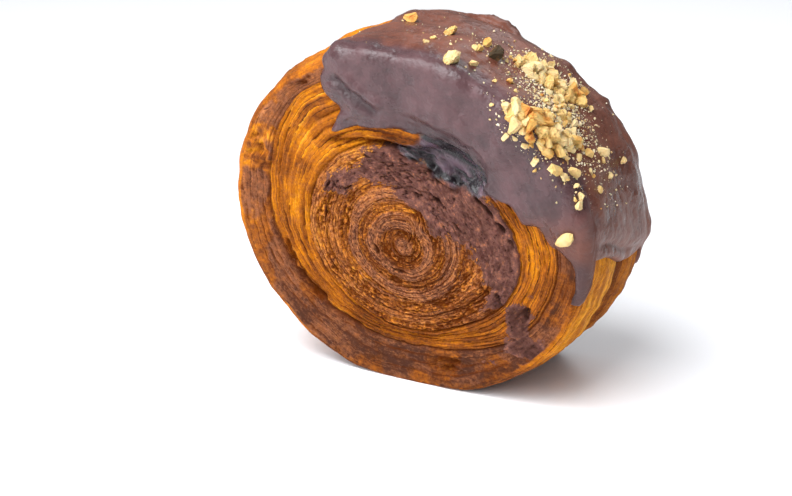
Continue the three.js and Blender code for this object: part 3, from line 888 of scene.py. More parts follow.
# %% Browning of the rim
BANDS_AT = [-HALF_WIDTH, -17, -4, 0, 2.5, 3.5, 5, 8, 12, HALF_WIDTH]
# The darkest band lies in the crease between the rim's two bands: painted shade there, the bands' own
# browning elsewhere.
BANDS_BROWN_AND_CREASE_SHADE = [0.5, 0.3, 0.22, 0.28, 0.1, 0.5, 0.85, 0.66, 0.55, 0.6]
CREASE_AT = [2.5, 4.8, 7]
OPEN_ANGLE, OPEN_SPREAD = math.radians(-15), math.radians(45)
COVERED_BROWN, COVERED_EDGE, FOOT_BROWN = 0.46, 0.16, 0.72
COVERED_STREAKS, OPEN_STREAKS, RIM_STREAKS = 0.12, 0.5, Lumps(1, 15, 1.1, 91, 1)
COVERED_MOTTLE, OPEN_MOTTLE, RIM_MOTTLE = 0.36, 0.25, Lumps(1, 12, 9, 93, 4)
PORE_SHADE, PORES = 0.4, Patches(1.1, 0.7, 96, 0.58, 0.72)


def rim_open(angle):
    """How much of the rim shows its sheets, low on the right; elsewhere a smooth skin covers them."""
    return bell(angle, OPEN_ANGLE, OPEN_SPREAD)


def rim_browning(angle, along):
    arc = angle * RIM_RADIUS
    low = smooth(-np.sin(angle), 0.55, 0.95)
    open_side = rim_open(angle)
    covered = COVERED_BROWN + COVERED_EDGE * smooth(np.abs(along), 8, HALF_WIDTH)
    bands = mix(covered, np.interp(along, BANDS_AT, BANDS_BROWN_AND_CREASE_SHADE), open_side)
    streaks = mix(COVERED_STREAKS, OPEN_STREAKS, open_side) * RIM_STREAKS.at(arc, along)
    mottle = mix(COVERED_MOTTLE, OPEN_MOTTLE, open_side) * RIM_MOTTLE.at(arc, along)
    return mix(bands, FOOT_BROWN, low) + streaks + mottle


def rim_pits(angle, along):
    return PORE_SHADE * PORES.at(angle * RIM_RADIUS, along) * rim_open(angle)


rim_brown = rim_browning(rim_angle, rim_along)
# Painted shade in the crease between the rim's two bands.
crease_shade = np.interp(rim_along, CREASE_AT, [0, 1, 0]) * mix(0.6, 1.2, hills(rim_angle * 6, 0.5, 97))
print("rim browning from", rim_brown.min().round(2), "to", rim_brown.max().round(2))

# %% Write what is known on the points
WET = [(-2, 27.2), (3, 24), (9, 20), (16, 16.5), (22, 15.5), (27, 16), (28, 24), (20, 31), (7, 33),
       (5.5, 29), (1, 28)]
WET_WAVER = Lumps(2.5, 3, 3, 95, 3)
SPLASH_SHADE = 0.6
SHEETS_SHOWN = (0.8, 1, 0.4)
RIM_SHEETS_COVERED, RIM_SHEETS_OPEN = 0.15, 0.8
RIM_SKIN = 0.05
RIM_SHEET = 1.3


def stacked(front_values, rim_values, back_values):
    """Values for the whole sheet; a single number stands for all of its part."""
    return np.concatenate([np.broadcast_to(front_values, front_points.shape[:2]),
                           np.broadcast_to(rim_values, rim_points.shape[:2]),
                           np.broadcast_to(back_values, back_points.shape[:2])[::-1]])


front_x, front_up = front["x"], front["up"]
smeared = smear_at(front["run"], front_x, front_up)
splashed = smooth(smeared, 0.5, 0.9) * smooth(-front_up, 14, 17)
wet_inside = inside_distance(WET, front_x, front_up) + WET_WAVER.at(front_x, front_up)
wet = smooth(wet_inside, -0.4, 0.9)
point_values = {
    "brown": (front_brown, rim_brown, face_browning(behind)),
    "skin": (face_skin(front), RIM_SKIN, face_skin(behind)),
    # The "open" values mark painted shade in gaps, grooves, cracks, slits and the rim's crease, and a
    # darker smear colour on the splash.
    "open": (np.maximum(front["gap"], SPLASH_SHADE * splashed), np.clip(crease_shade, 0, 1), behind["gap"]),
    "pitted": (front["pits"], rim_pits(rim_angle, rim_along), behind["pits"]),
    "layered": (by_zone(front["run"], *SHEETS_SHOWN),
                mix(RIM_SHEETS_COVERED, RIM_SHEETS_OPEN, rim_open(rim_angle)),
                by_zone(behind["run"], *SHEETS_SHOWN)),
    "cored": (in_core(front["run"]), 0, in_core(behind["run"])),
    "smeared": (smeared, 0, 0),
    "wrinkled": (wrinkles_at(front_x, front_up), 0, 0),
    "wet": (wet, 0, 0),
}
for name, values in point_values.items():
    write_attribute(pastry, name, stacked(*values))
write_map(pastry, stacked(front["length"], rim_angle * RIM_RADIUS, behind["length"]),
          stacked(front["layer"], rim_along / RIM_SHEET, behind["layer"]))
close_up(pastry)
print("pastry:", len(pastry.data.polygons), "faces")

# %% [markdown]
# ## Helpers for finishes
# Every finish below is a small network of nodes: a pattern is measured from the surface, spread over
# a range and turned into colour, roughness or height. Short helpers keep each finish readable.

# %% Node helpers
def tone(red, green, blue):
    """A screen colour, 0 to 255, as the linear colour that the renderer counts in."""
    linear = []
    for value in (red, green, blue):
        share = value / 255
        linear.append(share / 12.92 if share <= 0.04045 else ((share + 0.055) / 1.055) ** 2.4)
    return (*linear, 1.0)


class Finish:
    """A material, and short ways to add nodes to it and to feed its main shader."""

    def __init__(self, name):
        self.material = bpy.data.materials.new(name)
        self.material.use_nodes = True
        self.tree = self.material.node_tree

    def feed(self, socket, value):
        if isinstance(value, bpy.types.NodeSocket):
            self.tree.links.new(value, socket)
        else:
            socket.default_value = value

    def add(self, kind, output, inputs, **settings):
        """Adds a node with these inputs and settings, and gives one of its outputs."""
        node = self.tree.nodes.new("ShaderNode" + kind)
        for name, value in settings.items():
            setattr(node, name, value)
        for name, value in inputs.items():
            self.feed(node.inputs[name], value)
        return node.outputs[output]

    def attribute(self, name):
        return self.add("Attribute", "Fac", {}, attribute_name=name)

    def spot(self, kind, scale=(1, 1, 1)):
        """Places measured on the piece or on its flat map, stretched by a scale."""
        return self.add("Mapping", "Vector", {"Vector": self.add("TexCoord", kind, {}), "Scale": scale})

    def noise(self, where, scale, detail=4.0, roughness=0.55):
        sizes = {"Scale": scale, "Detail": detail, "Roughness": roughness}
        return self.add("TexNoise", "Fac", {"Vector": where, **sizes})

    def math(self, operation, first, second, clamp=False):
        return self.add("Math", 0, {0: first, 1: second}, operation=operation, use_clamp=clamp)

    def plus(self, first, second, clamp=False):
        return self.math("ADD", first, second, clamp)

    def less(self, first, second, clamp=False):
        return self.math("SUBTRACT", first, second, clamp)

    def times(self, first, second, clamp=False):
        return self.math("MULTIPLY", first, second, clamp)

    def spread(self, value, low, high, to_low=0.0, to_high=1.0):
        """A value's range from low to high, spread over another range."""
        ranges = {"From Min": low, "From Max": high, "To Min": to_low, "To Max": to_high}
        return self.add("MapRange", "Result", {"Value": value, **ranges})

    def swing(self, pattern, amount):
        """A noise pattern as a change by up to the amount, down or up."""
        return self.spread(pattern, 0.3, 0.7, -amount, amount)

    def colours(self, value, stops):
        band = self.tree.nodes.new("ShaderNodeValToRGB")
        self.feed(band.inputs["Fac"], value)
        while len(band.color_ramp.elements) < len(stops):
            band.color_ramp.elements.new(0.5)
        for element, (position, colour) in zip(band.color_ramp.elements, stops):
            element.position = position
            element.color = colour
        return band.outputs["Color"]

    def blend(self, share, first, second):
        return self.add("Mix", 2, {0: share, 6: first, 7: second}, data_type="RGBA")

    def bump(self, height, strength, distance, below=None):
        inputs = {"Height": height, "Strength": strength, "Distance": distance}
        if below is not None:
            inputs["Normal"] = below
        return self.add("Bump", "Normal", inputs)

    def cover(self, thing, **values):
        """Feeds the main shader and makes this the thing's only material."""
        shader = self.tree.nodes["Principled BSDF"]
        for name, value in values.items():
            self.feed(shader.inputs[name.replace("_", " ")], value)
        thing.data.materials.clear()
        thing.data.materials.append(self.material)


print("ways to add nodes:", [name for name in vars(Finish) if not name.startswith("_")])

# %% [markdown]
# ## Finish of the crust
# The crust runs from straw yellow to dark brown. The browning written on the points picks the colour,
# streaks along the strip and small blotches vary it, and the sheets get a thin line of painted shade on
# one side and a painted highlight on the other. On top lies the thin smear of chocolate that was wiped
# over the core, with a ragged edge, and the wet chocolate that pooled in the hollow, with painted shade
# in its furrows and a painted sheen on its crests.

# %% Lines along the sheets
HIGHLIGHT_SHARE = 0.55

crust = Finish("crust")
everywhere = crust.spot("Object")
streaks = crust.noise(crust.spot("UV", (0.06, 1.9, 1)), 1.0, 5.0, 0.6)
threads = crust.noise(crust.spot("UV", (0.4, 4.0, 1)), 1.0, 4.0, 0.65)
blotches = crust.noise(everywhere, 420, 5.0, 0.65)
grain = crust.noise(everywhere, 1300, 4.0, 0.7)
layered = crust.attribute("layered")
cored = crust.attribute("cored")


def painted_sheet_lines(repeat, wander, fading):
    """Painted shade lines and highlight edges for each sheet, which fade in and out along the strip."""
    across = crust.add("SeparateXYZ", "Y", {0: crust.spot("UV", (1, repeat, 1))})
    inside = crust.math("FRACT", crust.plus(across, crust.swing(threads, wander)), 0.0)
    fading = crust.noise(crust.spot("UV", fading), 1.0, 2.0)
    shown = crust.times(crust.spread(fading, 0.42, 0.6), layered)
    dark = crust.times(crust.spread(inside, 0.0, 0.2, 1.0, 0.0), shown)
    pale = crust.times(crust.spread(inside, 0.72, 1.0), shown)
    return crust.less(dark, crust.times(pale, HIGHLIGHT_SHARE)), inside


wide_lines, shingle = painted_sheet_lines(1.0, 0.12, (0.06, 0.9, 1))
thin_lines, _ = painted_sheet_lines(2.7, 0.3, (0.4, 1.7, 1))
long_lines, _ = painted_sheet_lines(2.0, 0.12, (0.07, 1.3, 1))
print("sheet lines:", len(crust.tree.nodes), "nodes")

# %% Crust colour
CRUST_TONES = [(0.0, tone(240, 170, 48)), (0.25, tone(212, 130, 20)), (0.5, tone(170, 96, 26)),
               (0.75, tone(120, 64, 24)), (1.0, tone(66, 36, 20))]
SKIN_TONES = [(0.25, tone(190, 124, 78)), (0.55, tone(144, 90, 60)), (0.9, tone(74, 44, 32))]
SKIN_PATCHES = 0.3

crumbly = crust.spread(layered, 0.0, 1.0, 1.0, 0.35)
finer = crust.spread(cored, 0.0, 1.0, 0.4, 1.0)
browned = crust.attribute("brown")
for pattern, amount, where in ((streaks, 0.16, layered), (threads, 0.28, finer), (blotches, 0.14, crumbly),
                               (grain, 0.32, finer)):
    browned = crust.plus(browned, crust.times(crust.swing(pattern, amount), where))
for lines, in_the_core, elsewhere in ((wide_lines, 0.75, 0.46), (thin_lines, 0.5, 0.0),
                                      (long_lines, 0.0, 0.46)):
    amount = crust.spread(cored, 0.0, 1.0, elsewhere, in_the_core)
    browned = crust.plus(browned, crust.times(lines, amount))
skin_share = crust.plus(crust.attribute("skin"), crust.swing(blotches, SKIN_PATCHES), True)
crust_colour = crust.blend(skin_share, crust.colours(browned, CRUST_TONES),
                           crust.colours(browned, SKIN_TONES))
print("crust colour:", len(crust.tree.nodes), "nodes")

# %% Smeared and wet chocolate on the crust
SMEAR_TONES = [(0.2, tone(40, 24, 20)), (0.42, tone(92, 58, 51)), (0.58, tone(116, 77, 67)),
               (0.8, tone(176, 110, 76))]
WET_SHADE_AND_SHEEN_TONES = [(0.15, tone(22, 15, 19)), (0.55, tone(58, 41, 48)), (0.9, tone(98, 76, 86))]
CRUST_SHADOW, SMEAR_SHADOW = tone(92, 40, 4), tone(46, 25, 18)
FLECKS = 0.24

lumpy = crust.noise(everywhere, 900, 5.0, 0.7)
pitted = crust.attribute("pitted")
ragged = crust.attribute("smeared")
for pattern, amount in ((blotches, 0.16), (threads, 0.1), (grain, 0.12)):
    ragged = crust.plus(ragged, crust.swing(pattern, amount))
smear_share = crust.spread(crust.less(ragged, crust.times(pitted, 0.2)), 0.44, 0.54)
film = crust.spread(lumpy, 0.35, 0.65, 0.45, 0.55)
for pattern, amount in ((streaks, 0.06), (blotches, 0.18), (grain, 0.07)):
    film = crust.plus(film, crust.swing(pattern, amount))
film = crust.plus(film, crust.spread(lumpy, 0.6, 0.68, 0.0, FLECKS))
film = crust.less(film, crust.spread(lumpy, 0.4, 0.33, 0.0, FLECKS))
colour = crust.blend(smear_share, crust_colour, crust.colours(film, SMEAR_TONES))
# Painted shade: gaps and pits are coloured towards a dark shadow tone, in the crust and in the smear.
painted_hole_shade = crust.math("MAXIMUM", crust.attribute("open"), pitted)
painted_hole_shade = crust.times(painted_hole_shade, crust.spread(grain, 0.3, 0.6, 0.6, 1.0), True)
colour = crust.blend(painted_hole_shade, colour, crust.blend(smear_share, CRUST_SHADOW, SMEAR_SHADOW))
wet_share = crust.attribute("wet")
# Painted shade and sheen: the wet chocolate is dark in the furrows of its wrinkles and paler on their
# crests.
colour = crust.blend(wet_share, colour, crust.colours(crust.attribute("wrinkled"), WET_SHADE_AND_SHEEN_TONES))
print("crust with chocolate:", len(crust.tree.nodes), "nodes")

# %% Relief and shine of the crust
WET_SMOOTHNESS = 0.36
DRY_SHINE, WET_SHINE = 0.03, 0.7
SMEAR_CALM = 0.45
CRUMB_GLOW = {"Subsurface_Weight": 0.12, "Subsurface_Radius": (1.0, 0.35, 0.1), "Subsurface_Scale": 0.0012}

dry_roughness = crust.spread(grain, 0.3, 0.7, 0.45, 0.65)
rough = crust.less(dry_roughness, crust.times(wet_share, WET_SMOOTHNESS), True)
shine = crust.spread(wet_share, 0.0, 1.0, DRY_SHINE, WET_SHINE)
calm = crust.spread(smear_share, 0.0, 1.0, 1.0, SMEAR_CALM)
relief = None
for pattern, where, strength, height in ((threads, layered, 0.3, 0.6), (shingle, layered, 0.3, 0.6),
                                         (lumpy, calm, 0.45, 0.8), (grain, calm, 0.5, 0.5)):
    relief = crust.bump(crust.times(pattern, where), strength, height * MM, relief)
crust.cover(pastry, Base_Color=colour, Roughness=rough, Normal=relief, Specular_IOR_Level=shine,
            **CRUMB_GLOW)
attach(pastry, "root")
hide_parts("pastry")
print("crust:", len(crust.tree.nodes), "nodes")

# %% [markdown]
# ## The chocolate coat
# Dipped chocolate is a skin that lies on the dough, thins to a rounded lip where it stopped, and sags
# into a drip or two. It could be a shell pushed out of the pastry, but its lip would follow the mesh.
# Here it is a second bent grid whose edges are the lip itself. Rays cast at the pastry tell how deep
# the dough lies under each point, so that the lip can bend down and close on it.

# %% Outline of the coat
COAT_RIGHT = {"angle": 1, "slant": 9.5, "from": 0.1, "to": 0.7}
COAT_LEFT = {"angle": 113, "slant": 7, "from": 0.45, "to": 0.75}
FRONT_DRIP = {"length": 15, "width": 0.05}
BACK_DRIP = {"length": 9, "width": 0.04}
END_WOBBLE = Lumps(0.8, 1 / 7, 1, 107, 2)
FRONT_LIP = [(48.2, -11.8), (48.6, -6), (48.4, -1), (46.8, 1.9), (44.3, 3.5), (41.9, 5), (38.8, 9),
             (33.8, 10.5), (30.3, 14.8), (26, 16.4), (23.5, 17.5), (24.5, 22), (18, 28), (6, 31),
             (-3, 31.3), (-11, 30.8), (-19, 28.5), (-16.5, 35), (-21, 40), (-21, 44.5)]
BACK_LIP = [(48.5, -9), (40, 4), (31, 11), (25, 20), (14, 26), (4, 33), (-7, 34), (-16, 45.5)]
CURVE_STEPS = 24
COAT_COLUMNS = 240


def even_curve(corners, count):
    """Evenly spaced points of a smooth curve through the given corners."""
    spots = np.array([corners[0], *corners, corners[-1]], float)
    steps = np.linspace(0, 1, CURVE_STEPS, endpoint=False)[:, None]
    pieces = []
    for before, start, end, after in zip(spots, spots[1:], spots[2:], spots[3:]):
        lean_in, lean_out = (end - before) / 2, (after - start) / 2
        cubic = 2 * start - 2 * end + lean_in + lean_out
        square = -3 * start + 3 * end - 2 * lean_in - lean_out
        pieces.append(cubic * steps ** 3 + square * steps ** 2 + lean_in * steps + start)
    line = np.concatenate([*pieces, spots[-1:]])
    walked = np.concatenate([[0], np.cumsum(np.hypot(*np.diff(line, axis=0).T))])
    wanted = np.linspace(0, walked[-1], count)
    return np.interp(wanted, walked, line[:, 0]), np.interp(wanted, walked, line[:, 1])


def end_at(end, along):
    slanted = end["angle"] - end["slant"] * smooth(along, end["from"], end["to"])
    return slanted + END_WOBBLE.at(along, end["angle"])


def coat_angle(share, along):
    """Where the coat ends on the rim; along is 0 at the front edge and 1 at the back."""
    blunt_drip = FRONT_DRIP["length"] * np.exp(-(along / FRONT_DRIP["width"]) ** 4)
    back_drip = BACK_DRIP["length"] * ridge(along, 1, BACK_DRIP["width"])
    right = end_at(COAT_RIGHT, along) - blunt_drip - back_drip
    return np.radians(mix(right, end_at(COAT_LEFT, along), share))


coat_share = np.linspace(0, 1, COAT_COLUMNS + 1)[None, :]
print("coat from", np.degrees(coat_angle(0, 0.5)), "to", np.degrees(coat_angle(1, 0.5)), "degrees")

# %% Resting places of the coat
LIP_WOBBLE = Lumps(0.8, 9, 1, 109, 3)
INSET_DEPTH, INSET_FULL, INSET_NONE = 0.35, 0.6, 0.77
FACE_ROWS = {-1: 60, 1: 26}
COAT_RIM_ROWS = 52
SWELL_FADE = 5.0


def coat_on_face(side, lip):
    """Resting places from the lip to the shoulder, with their outward direction."""
    sign = side["sign"]
    inward = np.linspace(0, 1, FACE_ROWS[sign], endpoint=False)[:, None]
    angle = coat_angle(coat_share, width_share(sign * HALF_WIDTH))
    edge = outline(angle, sign * HALF_WIDTH, -SHOULDER)
    lip_x, lip_up = even_curve(lip, COAT_COLUMNS + 1)
    wobble = LIP_WOBBLE.at(np.arange(COAT_COLUMNS + 1), sign)
    x = mix(lip_x[None, :], edge * np.cos(angle), inward)
    up = mix(lip_up[None, :] + wobble, edge * np.sin(angle), inward)
    inset = INSET_DEPTH * side["sunk"] * (1 - smooth(np.hypot(x, up) / RIM_RADIUS, INSET_FULL, INSET_NONE))
    rest = np.stack([x, up, sign * (HALF_WIDTH - inset)], -1)
    return rest, np.zeros(rest.shape) + (0, 0, sign)


def coat_round(along, reach, turned, sign):
    """Resting places round the roll, on a shoulder or on the rim, with their outward direction."""
    angle = coat_angle(coat_share, width_share(along))
    rest = polar(outline(angle, along, reach), angle, along)
    return rest, polar(np.sin(turned), angle, sign * np.cos(turned))


def coat_on_shoulder(sign):
    turned = shoulder_turns()[:, None]
    along = sign * (FLAT + SHOULDER * np.cos(turned))
    return coat_round(along, SHOULDER * np.sin(turned) - SHOULDER, turned, sign)


def coat_on_rim():
    along = np.linspace(-FLAT, FLAT, COAT_RIM_ROWS)[:, None]
    return coat_round(along, SWELL * (1 - smooth(np.abs(along), FLAT - SWELL_FADE, FLAT)), np.pi / 2, 0)


def coat_sheet():
    """The whole sheet, from the front lip over the rim to the back lip."""
    over_back = [coat_on_shoulder(1), coat_on_face(BACK, BACK_LIP)]
    strips = [coat_on_face(FRONT, FRONT_LIP), coat_on_shoulder(-1), coat_on_rim()]
    strips += [(rest[::-1], out[::-1]) for rest, out in over_back]
    return [np.concatenate(rows) for rows in zip(*strips)]


coat_rest, coat_out = coat_sheet()
print("coat sheet:", coat_rest.shape[:2], "points")

# %% Where the dough lies under the coat
RAY_START = 12.0
CHUNK = 64


def surface_levels(thing, rest, out):
    """How far the thing's surface lies above each resting place, along its outward direction."""
    tree = BVHTree.FromObject(thing, bpy.context.evaluated_depsgraph_get())
    starts = placed(rest + RAY_START * out).reshape(-1, 3)
    ends = placed(rest - RAY_START * out).reshape(-1, 3)
    levels = np.zeros(len(starts))
    for i, (start, end) in enumerate(zip(starts, ends)):
        start, end = Vector(start), Vector(end)
        hit = tree.ray_cast(start, end - start)
        levels[i] = RAY_START if hit[0] is None else hit[3] / (end - start).length * 2 * RAY_START
    return RAY_START - levels.reshape(rest.shape[:2])


def softened(values, rounds):
    """Values of a sheet averaged with their neighbours."""
    for _ in range(rounds):
        for axis in (0, 1):
            padded = np.pad(values, [(1, 1) if axis == side else (0, 0) for side in (0, 1)], mode="edge")
            lower = np.take(padded, np.arange(values.shape[axis]), axis)
            upper = np.take(padded, np.arange(2, values.shape[axis] + 2), axis)
            values = values / 2 + (lower + upper) / 4
    return values


def distance_to_edge(rest):
    """Distance of each place from the sheet's nearest edge, worked out a chunk of the edge at a time."""
    edge = np.concatenate([rest[0], rest[-1], rest[:, 0], rest[:, -1]])
    nearest = np.full(rest.shape[:2], FAR)
    for first in range(0, len(edge), CHUNK):
        away = rest[:, :, None, :] - edge[None, None, first:first + CHUNK, :]
        nearest = np.minimum(nearest, np.sqrt((away ** 2).sum(-1)).min(-1))
    return nearest


dough_level = surface_levels(pastry, coat_rest, coat_out)
from_edge = distance_to_edge(coat_rest)
print("dough under the coat:", dough_level.min().round(2), "to", dough_level.max().round(2), "mm")

# %% Waves and lumps in the chocolate
WAVES, WAVE_WIDTH, WAVE_DRIFT = Lumps(1.0, 14, 1, 101, 2), 11, 30
RUNS, DIMPLES = Lumps(0.42, 15, 4.2, 103, 2), Lumps(0.7, 4.5, 6, 111, 2)
CORNER_LUMPS, CORNER_WIDTH = Lumps(1.5, 7, 5, 105, 2), 3.0
REFLECTION_WAVER, REFLECTION_FROM, REFLECTION_TO = Lumps(4.0, 6, 3, 99, 3), 12.5, 18.5
RIGHT_REFLECTION = 0.1

coat_x, coat_up, coat_along = np.moveaxis(coat_rest, -1, 0)
coat_heading = np.arctan2(coat_up, coat_x)
coat_degrees = np.degrees(coat_heading)
coat_arc = coat_heading * RIM_RADIUS
on_front = smooth(-coat_along, FLAT, HALF_WIDTH)
# Painted reflection: the front of the coat is given a greyer colour for the pale room it reflects.
painted_reflection = smooth(REFLECTION_WAVER.at(coat_arc, coat_along) - coat_along, REFLECTION_FROM, REFLECTION_TO)
painted_reflection = painted_reflection * mix(RIGHT_REFLECTION, 1, smooth(coat_degrees, 2, 26))
waves = WAVES.at(coat_arc, coat_along / WAVE_WIDTH + coat_up / WAVE_DRIFT)
runs = (1 - on_front) * RUNS.at(coat_arc, coat_along)
corner = ridge(np.abs(coat_along), FLAT + 0.5, CORNER_WIDTH)
corner_lumps = corner * CORNER_LUMPS.at(coat_arc, coat_along)
dimples = on_front * DIMPLES.at(coat_x, coat_up)
# The share of the coat that gets the painted reflection.
print("bloom on", round(float(painted_reflection.mean()), 2), "of the coat")

# %% Flap, nub, rolled lip and fold
FLAP = {"at": 19.4, "width": 1.3, "height": 1.9}
FLAP_CREASE = {"at": 17.06, "width": 0.65, "height": -1.14}
FLAP_START, FLAP_END, FLAP_FADE = 71, 85, 3
FLAP_ROUGHNESS = Lumps(1.1, 3.4, 2.5, 113, 3)
NUB = {"at": 20, "width": 1.5, "height": 1.4, "angle": math.radians(39), "spread": math.radians(1.6)}
ROLL_CREST = {"height": 0.7, "at": 1.6, "width": 1.4}
ROLL_TROUGH = {"height": -0.6, "at": 4.6, "width": 0.9}
LEFT_FOLD = [(-15.5, 44), (-12.4, 41.2), (-9.5, 39.3), (-6.0, 36.8)]
FOLD_SHIFT = 2.2
FOLD_CREST = {"height": 0.8, "at": 0, "width": 1.5}
FOLD_DEPTH, FOLD_REACH = 1.4, 1.8


def bulge(wave, value):
    return wave["height"] * ridge(value, wave["at"], wave["width"])


past_start = smooth(coat_degrees, FLAP_START - FLAP_FADE, FLAP_START + FLAP_FADE)
past_end = smooth(coat_degrees, FLAP_END - FLAP_FADE, FLAP_END + FLAP_FADE)
flap_rough = 1 + FLAP_ROUGHNESS.at(coat_arc, coat_along)
back_flap = bulge(FLAP, coat_along) + bulge(FLAP_CREASE, coat_along)
back_flap = back_flap * past_start * (1 - past_end) * flap_rough
nub = bulge(NUB, coat_along) * bell(coat_heading, NUB["angle"], NUB["spread"])
from_right = (coat_heading - coat_angle(0, width_share(coat_along))) * RIM_RADIUS
rolled = smooth(coat_along, -17, -13) * (1 - smooth(coat_along, 4, 12)) * (1 - on_front)
rolled_lip = rolled * (bulge(ROLL_CREST, from_right) + bulge(ROLL_TROUGH, from_right))
in_fold = on_front * ridge(line_distance(LEFT_FOLD, coat_x, coat_up), 0, FOLD_REACH)
fold_crest = line_distance(LEFT_FOLD, coat_x - FOLD_SHIFT, coat_up - FOLD_SHIFT)
end_fold = on_front * bulge(FOLD_CREST, fold_crest) - FOLD_DEPTH * in_fold
broad_relief = (waves + runs + corner_lumps + dimples + end_fold) * smooth(from_edge, 0.5, 5)
coat_relief = broad_relief + back_flap + nub + rolled_lip
print("coat relief from", coat_relief.min().round(2), "to", coat_relief.max().round(2), "mm")

# %% Make the coat
COAT_GAP = 0.35
LIP_THICKNESS, LIP_WIDTH = 1.4, 1.3
MELTED_LIP = 0.15
BODY_THICKNESS, BODY_WIDTH = 0.8, 9.0
LIP_SINK, LIP_BEND = 0.3, 6.0
DEEPEST, HIGHEST = 4.5, 2.0
CLEARANCE = 0.3
FOLLOWS_DOUGH = 0.3
SOFTENING = 4
FOLD_SHADE, DRIP_SHADE = 0.75, 0.8


def both_sides(values):
    return np.concatenate([values, values[::-1]])


soft_level = softened(np.clip(dough_level, -DEEPEST, HIGHEST), SOFTENING)
bending = smooth(from_edge, 0.0, LIP_BEND)
underside = mix(soft_level - LIP_SINK, COAT_GAP + FOLLOWS_DOUGH * np.minimum(soft_level, 0), bending)
melting = on_front * (1 - smooth(ellipse_share(HOLLOW, coat_x, coat_up), 0.9, 1.7))
lip = np.sqrt(1 - (1 - np.clip(from_edge / LIP_WIDTH, 0, 1)) ** 2)
lip_height = LIP_THICKNESS * mix(lip, MELTED_LIP * lip, melting)
thickness = lip_height + BODY_THICKNESS * smooth(from_edge, 0.5, BODY_WIDTH)
topside = underside + thickness + coat_relief
topside = np.maximum(topside, np.minimum(dough_level, HIGHEST) + CLEARANCE * lip)
top_points = placed(coat_rest + topside[..., None] * coat_out)
under_points = placed(coat_rest + np.minimum(underside, topside)[..., None] * coat_out)
edge_ring = np.zeros(from_edge.shape, bool)
edge_ring[[0, -1], :] = True
edge_ring[:, [0, -1]] = True
under_points[edge_ring] = top_points[edge_ring]
glaze = bent_grid("chocolate_glaze", np.concatenate([top_points, under_points[::-1]]))
in_drip = on_front * (1 - smooth(coat_degrees, -1, 7))
# Painted shade: the glaze is coloured darker where it runs into the hollow, in the left fold, and on the
# drip, where it reflects less light.
glaze_shade = np.maximum(np.maximum(melting, FOLD_SHADE * in_fold), DRIP_SHADE * in_drip)
# The "front" values mark the painted reflection.
write_attribute(glaze, "front", both_sides(painted_reflection))
write_attribute(glaze, "hollow", both_sides(glaze_shade))
close_up(glaze)
print("glaze:", len(glaze.data.polygons), "faces")

# %% [markdown]
# ## Finish of the chocolate
# Set chocolate is satin, not glassy: a broad soft shine over a warm brown, greyer on the front with a
# painted reflection of the pale room. Its gloss changes in patches, and in the hollow, the fold and the
# drip it is darker with painted shade.

# %% Chocolate material
CHOCOLATE_TONES = [(0.3, tone(88, 50, 39)), (0.7, tone(120, 72, 56))]
REFLECTION_TONES = [(0.3, tone(62, 41, 43)), (0.7, tone(91, 62, 64))]
HOLLOW_SHADE_TONE = tone(62, 46, 48)
MOTTLE = 0.12
SMOOTHEST, ROUGHEST = 0.16, 0.46
TOP_SHINE, FRONT_SHINE = 0.24, 0.42

chocolate = Finish("chocolate")
everywhere = chocolate.spot("Object")
clouds = chocolate.noise(everywhere, 70, 4.0, 0.55)
blots = chocolate.noise(everywhere, 330, 4.0, 0.6)
specks = chocolate.noise(everywhere, 1100, 3.0, 0.6)
mottled = chocolate.plus(clouds, chocolate.swing(blots, MOTTLE))
reflection_share = chocolate.attribute("front")
# Painted reflection: the greyer tones go where the front of the coat reflects the pale room.
colour = chocolate.blend(reflection_share, chocolate.colours(mottled, CHOCOLATE_TONES),
                         chocolate.colours(mottled, REFLECTION_TONES))
# Painted shade: a darker tone in the hollow, the fold and the drip.
colour = chocolate.blend(chocolate.attribute("hollow"), colour, HOLLOW_SHADE_TONE)
rough = chocolate.spread(mottled, 0.3, 0.7, SMOOTHEST, ROUGHEST)
shine = chocolate.spread(reflection_share, 0.0, 1.0, TOP_SHINE, FRONT_SHINE)
relief = None
for pattern, strength, height in ((clouds, 0.35, 3.0), (blots, 0.45, 1.4), (specks, 0.25, 0.4)):
    relief = chocolate.bump(pattern, strength, height * MM, relief)
chocolate.cover(glaze, Base_Color=colour, Roughness=rough, Normal=relief, Specular_IOR_Level=shine)
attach(glaze, "root")
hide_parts("chocolate_coat")
print("chocolate:", len(chocolate.tree.nodes), "nodes")

# %% [markdown]
# ## Chopped nuts
# A chopped nut is a lump with many small cuts and a mealy surface. A ball is cut by planes and its
# points are shaken, once for each of a handful of pattern chips. The chips are then copied by a rule,
# each turned and sized differently. The large ones lie where the solid has them, smaller ones fill in
# between, and meal is strewn around them. One large nut beside the drip is a rounded oval of its own.

# %% Pattern chips and crumbs
CHIP_KINDS, CRUMB_KINDS = 8, 5
CUTS = 9
SHALLOWEST_CUT, DEEPEST_CUT = 0.4, 0.22
FLATTER_THAN = math.radians(10)
SHAKE = 0.055
CRUMB_LEAST, CRUMB_MOST = 0.6, 1.2


def new_ball(subdivisions):
    bpy.ops.object.select_all(action="DESELECT")
    bpy.ops.mesh.primitive_ico_sphere_add(subdivisions=subdivisions, radius=0.5)
    return bpy.context.object


def taken_off(thing):
    """The points and triangles of a thing, which is then removed."""
    points = np.array([corner.co for corner in thing.data.vertices])
    faces = np.array([list(face.vertices) for face in thing.data.polygons])
    bpy.data.objects.remove(thing)
    return points, faces


